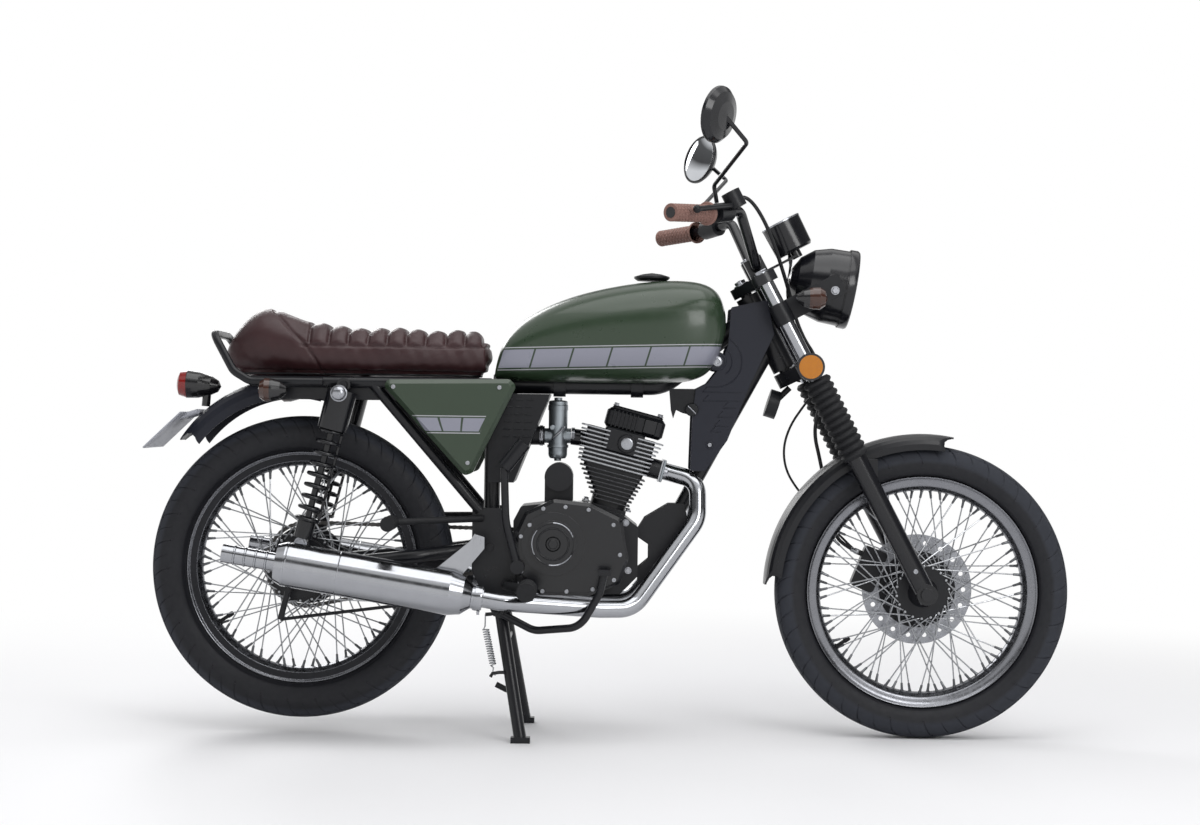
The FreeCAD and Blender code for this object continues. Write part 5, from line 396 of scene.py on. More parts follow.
class Form:
    """Points and faces gathered for one mesh. Each face keeps the number of its finish."""

    def __init__(self):
        self.points = []
        self.faces = []
        self.marks = []

    def sheet(self, rows, closed_rows=False, closed_columns=False, mark=0):
        """Quads over a grid of points: rows[i][j]."""
        base = len(self.points)
        high = len(rows)
        wide = len(rows[0])
        self.points.extend(tuple(point) for row in rows for point in row)
        for i in range(high if closed_rows else high - 1):
            near = base + i * wide
            far = base + (i + 1) % high * wide
            for j in range(wide if closed_columns else wide - 1):
                over = (j + 1) % wide
                self.faces.append([near + j, near + over, far + over, far + j])
                self.marks.append(mark)

    def solid(self, rows, mark=0, lid=None):
        """A sheet of closed rows with a lid on its first and its last row."""
        base = len(self.points)
        self.sheet(rows, closed_columns=True, mark=mark)
        last = len(self.points) - len(rows[0])
        for first, order in ((base, -1), (last, 1)):
            self.faces.append(list(range(first, first + len(rows[0])))[::order])
            self.marks.append(mark if lid is None else lid)

    def lathe(self, profile, place, axis, count=32, mark=0, begin=0, sweep=360):
        """Turn a profile of (radius, distance along the axis) in millimetres about an axis."""
        turn = facing(axis, place)
        whole = sweep == 360
        rows = []
        for index in range(count if whole else count + 1):
            angle = math.radians(begin + sweep * index / count)
            rows.append([turn @ (Vector((radius * math.cos(angle), radius * math.sin(angle), along)) * MM)
                         for radius, along in profile])
        self.sheet(rows, closed_rows=whole, mark=mark)

    def tube(self, path, radius, count=10, mark=0, closed=False):
        """A round bar along points; the radius may be one number or one for each point."""
        path = [Vector(point) for point in path]
        radii = radius if isinstance(radius, list) else [radius] * len(path)
        rows = []
        side = None
        for index, point in enumerate(path):
            ahead = path[(index + 1) % len(path)] if closed or index + 1 < len(path) else point
            behind = path[index - 1] if closed or index else point
            run = (ahead - behind).normalized()
            if side is None:
                side = run.orthogonal().normalized()
            side = (side - run * side.dot(run)).normalized()
            up = run.cross(side)
            rows.append([point + (side * math.cos(2 * math.pi * k / count)
                                  + up * math.sin(2 * math.pi * k / count)) * radii[index]
                         for k in range(count)])
        if closed:
            self.sheet(rows, True, True, mark)
        else:
            self.solid(rows, mark)

    def hexagon(self, place, axis, across, height, mark=0):
        """A hexagon bolt head with a chamfered crown and a washer, in millimetres."""
        turn = facing(axis, place)
        wide = across / math.sqrt(3)
        washer = height * 0.2
        chamfer = across * 0.07
        self.lathe([(0, 0), (across * 0.72, 0), (across * 0.72, washer), (0, washer)], place, axis, 18, mark)
        rows = []
        for radius, up in ((wide, washer), (wide, height - chamfer), (wide - chamfer, height)):
            corners = (round_spot(math.pi * k / 3, radius) for k in range(6))
            rows.append([turn @ (Vector((corner.x, corner.z, up)) * MM) for corner in corners])
        self.solid(rows, mark)

    def socket(self, place, axis, across, height, mark=0):
        """A round cap screw with a socket in its head, in millimetres."""
        half = across / 2
        self.lathe([(0, 0), (half, 0), (half, height * 0.85), (half * 0.88, height), (half * 0.5, height),
                    (half * 0.5, height * 0.4), (0, height * 0.4)], place, axis, 16, mark)


def facing(axis, place=(0, 0, 0)):
    """The transform that stands local Z on an axis at a place."""
    turn = Vector(axis).to_track_quat("Z", "Y").to_matrix().to_4x4()
    return Matrix.Translation(Vector(place)) @ turn


def round_spot(angle, radius):
    """A point round the Y axis."""
    return Vector((math.cos(angle), 0, math.sin(angle))) * radius


def lengths_along(points):
    """The distance to each point along a path."""
    lengths = [0.0]
    for a, b in zip(points, points[1:]):
        lengths.append(lengths[-1] + (b - a).length)
    return lengths


def smooth_path(points, steps):
    """Points of a smooth curve through the ones given."""
    points = [points[0] * 2 - points[1]] + points + [points[-1] * 2 - points[-2]]
    path = []
    for a, b, c, d in zip(points, points[1:], points[2:], points[3:]):
        for step in range(steps):
            t = step / steps
            path.append(0.5 * ((2 * b) + (c - a) * t + (2 * a - 5 * b + 4 * c - d) * t * t
                               + (3 * b - a - 3 * c + d) * t ** 3))
    return path + [points[-2]]


def tie(thing, body, node=None):
    """Put an object in the scene, on its body, in place of a CAD node.
    """
    if thing.name not in bpy.context.scene.collection.objects:
        bpy.context.scene.collection.objects.link(thing)
    if body:
        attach(thing, body)
    if node:
        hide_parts(node)


def piece(name, form, looks, body, node=None, flat=35):
    """Make the mesh object of a form with the finishes named, and tie it to its body."""
    mesh = bpy.data.meshes.new(name)
    mesh.from_pydata(form.points, [], form.faces)
    mesh.polygons.foreach_set("material_index", form.marks)
    tidy = bmesh.new()
    tidy.from_mesh(mesh)
    bmesh.ops.remove_doubles(tidy, verts=tidy.verts, dist=1e-6)
    bmesh.ops.dissolve_degenerate(tidy, dist=1e-6, edges=tidy.edges)
    bmesh.ops.recalc_face_normals(tidy, faces=tidy.faces)
    tidy.to_mesh(mesh)
    tidy.free()
    mesh.shade_smooth()
    mesh.set_sharp_from_angle(angle=math.radians(flat))
    for look in looks.split():
        mesh.materials.append(LOOKS[look])
    thing = bpy.data.objects.new(name, mesh)
    tie(thing, body, node)
    return thing


# Wheels

BEAD_RADIUS = 0.225
WALL_SHARES = ((0.5, 0), (0.5, 0.2), (0.56, 0.243), (0.66, 0.262), (0.76, 0.285), (0.795, 0.3),
    (0.815, 0.302), (0.85, 0.325), (0.895, 0.37), (0.935, 0.42), (0.965, 0.475), (0.98, 0.53))
TREAD_SHARES = ((0.999, 0.575), (1, 0.62), (0.985, 0.69), (0.935, 0.78), (0.85, 0.855), (0.73, 0.915),
    (0.58, 0.955), (0.4, 0.982), (0.2, 0.996), (0, 1))

# Places along one pitch of the tread, and those that lie in its long and in its short groove
LONG_CUT = (0.012, 0.05)
SHORT_CUT = (0.512, 0.542)
PITCH_SHARES = (0, *LONG_CUT, 0.062, 0.14, 0.23, 0.32, 0.41, 0.5, *SHORT_CUT, 0.554, 0.64, 0.73, 0.82, 0.91)


def tread_rows(count):
    """Places over half the tread as shares of half width and height, from edge to crown."""
    spine = smooth_path([Vector((a, b, 0)) for a, b in TREAD_SHARES], 12)
    lengths = lengths_along(spine)
    rows = []
    for index in range(count + 1):
        share = index / count
        target = lengths[-1] * share
        seat = max(k for k in range(len(lengths)) if lengths[k] <= target + 1e-9)
        seat = min(seat, len(spine) - 2)
        run = lengths[seat + 1] - lengths[seat]
        rows.append((1 - share, spine[seat].lerp(spine[seat + 1], (target - lengths[seat]) / run)))
    return rows


def tyre(end, axle, radius, half, pitches, slope, depth):
    """A tyre with moulded side ribs and slanted grooves cut into its tread."""
    height = radius - BEAD_RADIUS
    columns = [(2 * math.pi * (pitch + share) / pitches, share)
               for pitch in range(pitches) for share in PITCH_SHARES]
    form = Form()
    rows = []
    for side in SIDES:
        stations = [(None, Vector((a, b, 0))) for a, b in WALL_SHARES] + tread_rows(26)
        if side > 0:
            stations = stations[:-1][::-1]
        for across, place in stations:
            row = []
            for angle, share in columns:
                sink = 0
                if across is not None:
                    angle += (slope * 2 * (1 - across) + max(side, 0)) * math.pi / pitches
                    if share in LONG_CUT and 0.16 < across:
                        sink = depth * min(1, (across - 0.12) * 8)
                    if share in SHORT_CUT and 0.4 < across < 0.93:
                        sink = depth * 0.8
                    weave = 0.035 * math.sin(2 * math.pi * share)
                    if 0.555 + weave < across < 0.605 + weave:
                        sink = max(sink, depth * 0.8)
                    if across < 0.04:
                        sink = max(sink, depth * 0.7)
                reach = BEAD_RADIUS + place.y * height - sink
                row.append(axle + round_spot(angle, reach) + Vector((0, side * place.x * half, 0)))
            rows.append(row)
    form.sheet(rows, closed_rows=True, closed_columns=True)
    piece(end + "_tyre_skin", form, end + "_tyre_rubber", end + "_wheel", end + "_tyre", 24)


RIM_PROFILE = ((0, 214), (6, 214.5), (12.5, 216.8), (16.5, 219.6), (19, 221.8), (21.2, 222.8), (22.8, 224.2),
    (23.8, 227), (24.6, 232), (25.6, 237.5), (27.6, 240.4), (29.6, 242), (30.2, 243.6), (29, 245),
    (26.8, 244.4), (25, 242), (23.8, 238), (23, 232), (21.2, 226.8), (15, 224.6), (9, 220), (0, 218))
RIM_STEPS = 180
SPOKE_COUNT = 72
SPOKE_LAP = math.radians(52)
SPOKE_RADIUS = 0.0015
HUB_FLANGE = 0.034
NIPPLE_RADIUS = 0.216
VALVE_ANGLE = math.radians(214)
VALVE_RADIUS = 0.2145


def laced(end, axle, hub_radius):
    """A rolled steel rim with its bright spokes and their nipples."""
    hoop = Form()
    loop = list(RIM_PROFILE) + [(-y, r) for y, r in RIM_PROFILE[-2:0:-1]]
    rows = []
    for index in range(RIM_STEPS):
        angle = 2 * math.pi * index / RIM_STEPS
        rows.append([axle + round_spot(angle, MM * r) + Vector((0, MM * y, 0)) for y, r in loop])
    hoop.sheet(rows, closed_rows=True, closed_columns=True)
    valve = round_spot(VALVE_ANGLE, VALVE_RADIUS)
    hoop.lathe([(0, 0), (6.2, 0), (6.2, 2), (4, 4), (4, 20), (5.2, 21), (5.2, 31), (4, 34), (0, 34)],
                axle + valve, -valve, 14, 1)
    piece(end + "_hoop", hoop, "rim_steel black_rubber", end + "_wheel", end + "_rim")
    wires = Form()
    step = 2 * math.pi / SPOKE_COUNT
    for index in range(SPOKE_COUNT):
        side = 1 if index % 2 else -1
        lean = 1 if (index // 2) % 2 else -1
        outer = index * step
        inner = outer + lean * SPOKE_LAP
        foot = axle + round_spot(inner, hub_radius) + Vector((0, side * HUB_FLANGE, 0))
        tip = axle + round_spot(outer, NIPPLE_RADIUS) + Vector((0, side * 0.0064, 0))
        shift = Vector((0, side * lean * 0.0046, 0))
        run = (tip - foot - shift).normalized()
        bend = foot + shift + run * 0.004
        wires.tube([foot - shift * 0.9, foot + shift * 0.6, bend, foot + shift + run * 0.012, tip],
                   SPOKE_RADIUS, 6)
        wires.lathe([(0, -3), (3.8, -3), (3.6, 4), (2.9, 4.5), (2.6, 17), (1.6, 18.5), (0, 18.5)],
                     tip, -run, 8, 1)
        wires.lathe([(0, 0), (3, 0), (2.6, 1.6), (0, 2.2)], foot - shift * 0.9, Vector((0, -side * lean, 0)),
                     8)
    piece(end + "_spokes", wires, "spoke_steel nipple_steel", end + "_wheel")


tyre("front", FRONT_AXLE, 0.311, 0.045, 24, 0.62, 0.0048)
tyre("rear", REAR_AXLE, 0.32, 0.052, 30, 0.85, 0.0044)
laced("front", FRONT_AXLE, 0.0555)
laced("rear", REAR_AXLE, 0.0705)

# Hose and cable

BRAKE_HOSE_ROUTE = ((20, -186, 912), (34, -160, 912), (48, -136, 892), (54, -112, 848), (52, -88, 796),
    (46, -62, 744), (38, -42, 692), (27, -22, 640), (24, -8, 590), (30, 6, 550), (24, 24, 505), (8, 44, 462),
    (-20, 56, 432), (-44, 66, 396), (-56, 72, 346), (-72, 75, 290), (-88, 74, 232), (-105, 64, 182),
    (-91, 56, 147), (-75.6, 55, 128.5))
SPEED_CABLE_ROUTE = ((80, 28, 755.6), (72, 40, 738), (46, 53, 705), (28, 54, 655), (24, 50, 600),
    (28, 46, 552), (22, 42, 508), (-4, 39, 479), (-40, 39, 462), (-84, 43, 438), (-118, 52, 402),
    (-134, 63, 356), (-130, 73, 308), (-116, 79, 248), (-96, 84, 185), (-76, 88, 125), (-54, 91, 84),
    (-33, 92, 58))


def line_cord(name, node, route, radius):
    """A flexible line as one open spline, with a swaged collar at each end."""
    places = [on_fork(*(MM * value for value in point)) for point in route]
    curve = bpy.data.curves.new(name, "CURVE")
    curve.dimensions = "3D"
    curve.bevel_depth = radius
    curve.bevel_resolution = 3
    spline = curve.splines.new("NURBS")
    spline.points.add(len(places) - 1)
    for point, place in zip(spline.points, places):
        point.co = (*place, 1)
    spline.order_u = 3
    spline.use_endpoint_u = True
    spline.resolution_u = 8
    curve.materials.append(LOOKS["cable_sheath"])
    line = bpy.data.objects.new(name, curve)
    tie(line, "steering", node)
    wide = radius / MM
    ends = Form()
    for end, ahead in ((places[0], places[1]), (places[-1], places[-2])):
        ends.lathe([(0, -1), (wide * 1.45, -1), (wide * 1.6, 0), (wide * 1.6, 9), (wide * 1.35, 10.5),
                    (wide * 1.35, 16), (wide * 1.08, 18), (0, 18)], end, ahead - end, 14)
    collars = piece(name + "_collars", ends, "spoke_steel", "steering")


line_cord("brake_line", "brake_hose", BRAKE_HOSE_ROUTE, 0.004)
line_cord("speed_line", "speed_cable", SPEED_CABLE_ROUTE, 0.0026)

# Saddle and its trim

ROLL_FIRST = -0.6315
ROLL_PITCH = 0.0404
SIDE_SEAM = 0.8165
VOXEL = 0.006
PADDING_FRAMES = 20
MOST_MOVED = 0.008
ROOM_TO_SWELL = 0.005
HUMP_SEAM = ((-0.722, 0.9), (-0.709, 0.888), (-0.69, 0.868), (-0.671, 0.847), (-0.655, 0.832),
             (-0.639, 0.8165), (-0.618, 0.785), (-0.6, 0.752))
FRONT_SEAM = ((-0.262, 0.86), (-0.2635, 0.835), (-0.262, 0.8), (-0.258, 0.752))


def seam_reach(x, z, route):
    """Distance in side view from points to a seam given as corners."""
    nearest = np.full(len(x), 1.0)
    for (ax, az), (bx, bz) in zip(route, route[1:]):
        run = np.array((bx - ax, bz - az))
        share = np.clip(((x - ax) * run[0] + (z - az) * run[1]) / run.dot(run), 0.0, 1.0)
        nearest = np.minimum(nearest, np.hypot(x - ax - share * run[0], z - az - share * run[1]))
    return nearest


def smooth_step(value, low, high):
    """0 below the low limit and 1 above the high one, with an eased rise between."""
    share = np.clip((value - low) / (high - low), 0.0, 1.0)
    return share * share * (3 - 2 * share)


def points_of(items, key="co"):
    """The points or the normals of a mesh as an array."""
    data = np.empty(len(items) * 3, np.float32)
    items.foreach_get(key, data)
    return data.reshape(-1, 3).astype(np.float64)


def set_points(mesh, points):
    mesh.vertices.foreach_set("co", points.astype(np.float32).ravel())
    mesh.update()


def cushion():
    """The saddle's own padded pass, then its rolls and its seams."""
    low, high = (Vector(corner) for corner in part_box("seat"))
    source = frame["nodes"]["seat"]
    mesh = source.data.copy()
    mesh.name = "saddle"
    mesh.transform(source.matrix_world)
    mesh.materials.clear()
    saddle = bpy.data.objects.new("saddle", mesh)
    bpy.context.scene.collection.objects.link(saddle)
    middle = np.array((low + high) / 2)
    shrink = 1.0 - ROOM_TO_SWELL / np.array((high - low) / 2)
    set_points(mesh, (points_of(mesh.vertices) - middle) * shrink + middle)
    view = bpy.context.view_layer
    view.update()
    for other in view.objects:
        other.select_set(other == saddle)
    view.objects.active = saddle
    mesh.remesh_voxel_size = VOXEL
    bpy.ops.object.voxel_remesh()
    mesh = saddle.data
    rest = points_of(mesh.vertices)
    cloth = saddle.modifiers.new("padding", "CLOTH")
    cloth.settings.use_pressure = True
    cloth.settings.uniform_pressure_force = 4
    cloth.settings.effector_weights.gravity = 0
    cloth.point_cache.frame_start = 1
    cloth.point_cache.frame_end = PADDING_FRAMES
    for step in range(1, PADDING_FRAMES + 1):
        bpy.context.scene.frame_set(step)
    blown = saddle.evaluated_get(bpy.context.evaluated_depsgraph_get()).to_mesh()
    move = points_of(blown.vertices) - rest
    saddle.modifiers.remove(cloth)
    bpy.context.scene.frame_set(1)
    reach = np.linalg.norm(move, axis=1)
    set_points(mesh, rest + move * np.minimum(1.0, MOST_MOVED / np.maximum(reach, 1e-9))[:, None])
    rounding = saddle.modifiers.new("rounding", "SUBSURF")
    rounding.levels = 1
    view.update()
    smooth = bpy.data.meshes.new_from_object(saddle.evaluated_get(bpy.context.evaluated_depsgraph_get()))
    saddle.modifiers.remove(rounding)
    saddle.data = smooth
    bpy.data.meshes.remove(mesh)
    mesh = smooth
    mesh.name = "saddle"
    points = points_of(mesh.vertices)
    normals = points_of(mesh.vertex_normals, "vector")
    x, z = points[:, 0], points[:, 2]
    upper = smooth_step(z, SIDE_SEAM - 0.001, SIDE_SEAM + 0.01)
    span = smooth_step(x, ROLL_FIRST - 0.008, ROLL_FIRST) * smooth_step(-x, 0.255, 0.262)
    step = (x - ROLL_FIRST) / ROLL_PITCH
    near = np.abs(step - np.round(step)) * ROLL_PITCH
    grooves = 0.0075 * np.exp(-(near / 0.0038) ** 2) - 0.0022 * np.cos(np.pi * near / ROLL_PITCH * 2 + np.pi)
    sink = upper * span * (grooves - 0.0015)
    line = smooth_step(x, ROLL_FIRST - 0.022, ROLL_FIRST - 0.012) * smooth_step(-x, 0.25, 0.258)
    sink += line * 0.0038 * np.exp(-((z - SIDE_SEAM) / 0.003) ** 2)
    for route, depth in ((HUMP_SEAM, 0.004), (FRONT_SEAM, 0.003)):
        sink += depth * np.exp(-(seam_reach(x, z, route) / 0.0032) ** 2)
    sink += 0.0035 * np.exp(-((z - low.z - 0.01) / 0.003) ** 2)
    wrinkle = np.sin(x * 190.0 + points[:, 1] * 23.0) * np.sin(z * 120.0 + x * 31.0)
    sink += 0.0006 * wrinkle * (1 - upper)
    points -= normals * sink[:, None]
    points[:, 2] = np.maximum(points[:, 2], low.z + 0.0006)
    set_points(mesh, points)
    mesh.materials.append(LOOKS["seat_leather"])
    mesh.polygons.foreach_set("material_index", [0] * len(mesh.polygons))
    mesh.shade_smooth()
    tie(saddle, "frame", "seat")
    return mesh


def tree_of(mesh, matrix=Matrix()):
    """A search tree over a mesh, for seating small pieces on it."""
    return BVHTree.FromPolygons([matrix @ vertex.co for vertex in mesh.vertices],
                                [tuple(face.vertices) for face in mesh.polygons])


def stitch(form, path, pitch=0.004, length=0.0026, radius=0.00045):
    """Short threads laid end to end along a path."""
    spent = 0
    for a, b in zip(path, path[1:]):
        run = b - a
        reach = run.length
        if reach < 1e-6:
            continue
        run.normalize()
        along = (pitch - spent) % pitch
        while along + length < reach:
            start = a + run * along
            form.tube([start, start + run * length * 0.5, start + run * length],
                      [radius * 0.6, radius, radius * 0.6], 5)
            along += pitch
        spent = (reach - along) % pitch


def seat_trim(mesh):
    """Threads beside the seams and a piped lower edge."""
    tree = tree_of(mesh)
    threads = Form()

    def sewn(side, spots):
        hits = [tree.ray_cast(Vector((x, side * 0.4, z)), Vector((0, -side, 0))) for x, z in spots]
        stitch(threads, [hit[0] + hit[1] * 0.0002 for hit in hits if hit[0]])

    for side in SIDES:
        for shift in (-0.0052, 0.0052):
            sewn(side, [(a[0] + (b[0] - a[0]) * part / 8 + shift, a[1] + (b[1] - a[1]) * part / 8)
                        for a, b in zip(HUMP_SEAM[1:], HUMP_SEAM[2:]) for part in range(8)])
        sewn(side, [(ROLL_FIRST - 0.012 + 0.3745 * index / 139, SIDE_SEAM - 0.006) for index in range(140)])
    base = min(vertex.co.z for vertex in mesh.vertices) + 0.0045
    ring = []
    for index in range(150):
        angle = 2 * math.pi * index / 150
        reach = Vector((math.cos(angle) * 0.36, math.sin(angle) * 0.15, 0))
        hit = tree.ray_cast(Vector((-0.54, 0, base)) + reach, -reach)
        if hit[0]:
            ring.append(hit[0] + Vector((0, 0, 0.0005)))
    threads.tube(ring, 0.0026, 8, 1, closed=True)
    piece("saddle_trim", threads, "seam_thread black_plastic", "frame")


seat_trim(cushion())

# Small pieces seated on the frame's own surfaces

TREES = {}


def touch(node, origin, heading):
    """The first place where a line meets a CAD node."""
    if node not in TREES:
        thing = frame["nodes"][node]
        TREES[node] = tree_of(thing.data, thing.matrix_world)
    place = TREES[node].ray_cast(Vector(origin), Vector(heading).normalized())[0]
    if place is None:
        raise ValueError("nothing of %s at %s" % (node, tuple(origin)))
    return place


def beside(node, x, z, side=-1):
    """The outermost place of a node at a side-view position."""
    return touch(node, (x, side * 1.5, z), (0, -side, 0))


def heads(form, node, spots, across, height, side=-1, mark=0, kind="socket", sunk=0.0003):
    """Screw or bolt heads on the side of a node."""
    for x, z in spots:
        place = beside(node, x, z, side) - Vector((0, side * sunk, 0))
        getattr(form, kind)(place, (0, side, 0), across, height, mark)


def on_barrel(along, across, up):
    """A point in the cylinder's own frame: forward along its fins, across, and up its axis."""
    return CYLINDER_FOOT + BARREL_AHEAD * along + CYLINDER_AXIS * up + Vector((0, across, 0))


def slab(form, rear, front, half, low, high, corner=12, chamfer=0.6, rim=0, face=0):
    """A rounded plate or block square to the cylinder's axis in millimetres, its rim in its own finish."""
    rows = []
    for height, inset in ((low, chamfer), (low + chamfer, 0), (high - chamfer, 0), (high, chamfer)):
        row = []
        bend = max(corner - inset, 0.4)
        for turn, (end, side) in enumerate(((front, half), (rear, half), (rear, -half), (front, -half))):
            inner_end = end - math.copysign(corner, end - (rear + front) / 2)
            inner_side = side - math.copysign(corner, side)
            for step in range(5):
                angle = math.radians(90 * turn + 22.5 * step)
                row.append(on_barrel(MM * (inner_end + bend * math.cos(angle)),
                                     MM * (inner_side + bend * math.sin(angle)), MM * height))
        rows.append(row)
    form.solid(rows, rim, face)


def fin(form, rear, front, half, middle, thick, corner):
    """A thin slab with a bright rim, half its thickness each way from its middle."""
    slab(form, rear, front, half, middle - thick, middle + thick, corner, rim=1)


def barrel_and_head():
    """Fins and covers wider than the plain solids below them, as in the photograph."""
    form = Form()
    slab(form, -30, 46, 40, -1, 84, 30)
    for index in range(8):
        middle = 12 + 8.6 * index
        rear = -30 - 43 * index / 7
        front = 53 + 17 * index / 7
        half = 50 + 8 * index / 7
        fin(form, rear, front, half, middle, 1.3, 14)
        slab(form, rear + 7.5, front - 7.5, half - 7.5, middle, middle + 8.6, 12, 0.2)
    piece("barrel_fins", form, "engine_black barrel_rim", "frame", "cylinder")
    form = Form()
    slab(form, -73, 63, 54.5, 80, 117, 10)
    slab(form, -40, 46, 58.5, 115, 165, 8, 3)
    slab(form, -78, 70, 53, 115, 158, 10)
    for index in range(4):
        fin(form, -80 - 1.4 * index, 71 + index, 62, 85 + 8.8 * index, 1.7, 13)
    for index in range(5):
        middle = 120.5 + 8.8 * index
        fin(form, 26, 75.5 + 3 * index, 60.5, middle, 1.6, 12)
        fin(form, -85.5 - 1.4 * index, -22, 60.5, middle, 1.6, 12)
    slab(form, -46, 81, 47, 163, 206, 16, 7)
    slab(form, -37, 73, 34, 203, 212, 10, 3)
    for index in range(7):
        rear = -32 + 8.5 * index
        slab(form, rear, rear + 3.2, 50, 166, 203.5, 1.2)
    slab(form, 36, 64, 51.5, 170, 201, 4, 2, 2, 2)
    for side in SIDES:
        form.lathe([(20, 0), (20, 4), (18, 6), (0, 6)], on_barrel(0.012, side * 0.0575, 0.139), (0, side, 0),
                    28)
        form.tube([on_barrel(0.058, side * 0.022, 0.103), on_barrel(0.099, side * 0.022, 0.103)], 0.0205, 28)
    slab(form, 97.5, 103.5, 47, 80, 126, 2.5, 1, 3, 3)
    form.tube([(-0.083, 0, 0.631), (-0.066, 0, 0.629), on_barrel(-0.056, 0, 0.128)], 0.0175, 24, 2)
    piece("head_fins", form, "engine_black fin_rim gloss_black bare_alloy", "frame", "cylinder_head")


barrel_and_head()


def engine_trim():
    """Screws, caps and clips of the engine."""
    form = Form()
    cover = ((-0.166, 0.448), (-0.138, 0.482), (-0.092, 0.486), (-0.044, 0.481), (0.008, 0.45),
             (0.022, 0.388), (0.01, 0.336), (-0.034, 0.316), (-0.088, 0.311), (-0.138, 0.311),
             (-0.182, 0.352), (-0.184, 0.424))
    heads(form, "engine_covers", cover, 9.2, 6)
    heads(form, "crankcase", ((0.034, 0.452), (0.04, 0.352)), 10, 6, kind="hexagon")
    cap = beside("engine_covers", -0.117, 0.409)
    form.lathe([(0, 0), (45.5, 0), (45.5, 1.6), (44, 2.4), (42.5, 1.6), (42, 0.6), (34.5, 0.4), (33.5, 1.6),
                (32, 1.6), (31, 0.4), (0, 0.4)], cap, (0, -1, 0), 64, 1)
    for begin in (20, 140, 260):
        form.lathe([(45.2, 1.8), (44, 2.7), (42.8, 1.8)], cap, (0, -1, 0), 30, 0, begin, 70)
    form.hexagon(cap + Vector((0, -0.0004, 0)), (0, -1, 0), 19, 5, 1)
    bell = beside("engine_covers", -0.06, 0.409, 1)
    ring = [round_spot(math.radians(30 + 60 * index), 0.0735) for index in range(6)]
    heads(form, "engine_covers", [(spot.x - 0.06, spot.z + 0.409) for spot in ring], 8.5, 5, 1)
    form.lathe([(0, 0), (24, 0), (24, 2.5), (22.5, 3.5), (9, 3.5), (8.5, 1.5), (0, 1.5)], bell, (0, 1, 0),
                40, 1)
    piece("engine_screws", form, "bright_steel cover_black", "frame")
    form = Form()
    for along in (-0.03, 0.066):
        for side in SIDES:
            form.hexagon(on_barrel(along, side * 0.026, 0.2115), CYLINDER_AXIS, 10, 6)
    for side in SIDES:
        form.hexagon(on_barrel(0.1025, side * 0.0405, 0.103), BARREL_AHEAD, 8.5, 8)
        form.lathe([(0, 0), (12.5, 0), (12.5, 4), (10.5, 4.5), (10.5, 8.5), (0, 9.5)],
                    on_barrel(0.012, side * 0.0625, 0.139), (0, side, 0), 20)
    for side in SIDES:
        for along in (-0.04, 0.052):
            form.lathe([(0, 0), (5.5, 0), (5.5, 4), (0, 5)], on_barrel(along, side * 0.05, 0.0012),
                        CYLINDER_AXIS, 12)
    piece("head_nuts", form, "bright_steel", "frame")
    form = Form()
    form.lathe([(0, 0), (21.2, 0), (21.2, 10), (20, 11.5), (20, 18.5), (17, 20.5), (8.5, 21.5), (8.5, 27),
                (0, 27.5)], (-0.112, 0, 0.6865), (0, 0, 1))
    form.lathe([(0, 0), (22.5, 0), (22.5, 6), (20.5, 6.8), (19.5, 24), (16.5, 29), (7.5, 30), (7.5, 34.5),
                (0, 35)], (-0.112, 0, 0.6135), (0, 0, -1))
    form.lathe([(0, 0), (6, 0), (6, 6), (4.5, 6.8), (4.5, 10.5), (0, 11)], (-0.124, -0.0165, 0.65),
                (0, -1, 0), 16)
    form.tube([(-0.1225, -0.0205, 0.625), (-0.119, -0.026, 0.631), (-0.108, -0.0285, 0.64),
               (-0.097, -0.0245, 0.652)], 0.0028, 10, 1)
    piece("carb_caps", form, "bare_alloy bright_steel", "frame")
    form = Form()
    for x, radius in ((-0.0795, 16.6), (-0.147, 20.6)):
        form.lathe([(radius, -3.5), (radius + 1.2, -3.5), (radius + 1.2, 3.5), (radius, 3.5)],
                    (x, 0, 0.6323), (1, 0, 0), 36)
        form.lathe([(0, -6), (2.6, -6), (2.6, 6), (0, 6)], (x, -MM * (radius + 2.2), 0.6323), (0, 0, 1), 10)
    piece("hose_clips", form, "bright_steel", "frame")


engine_trim()


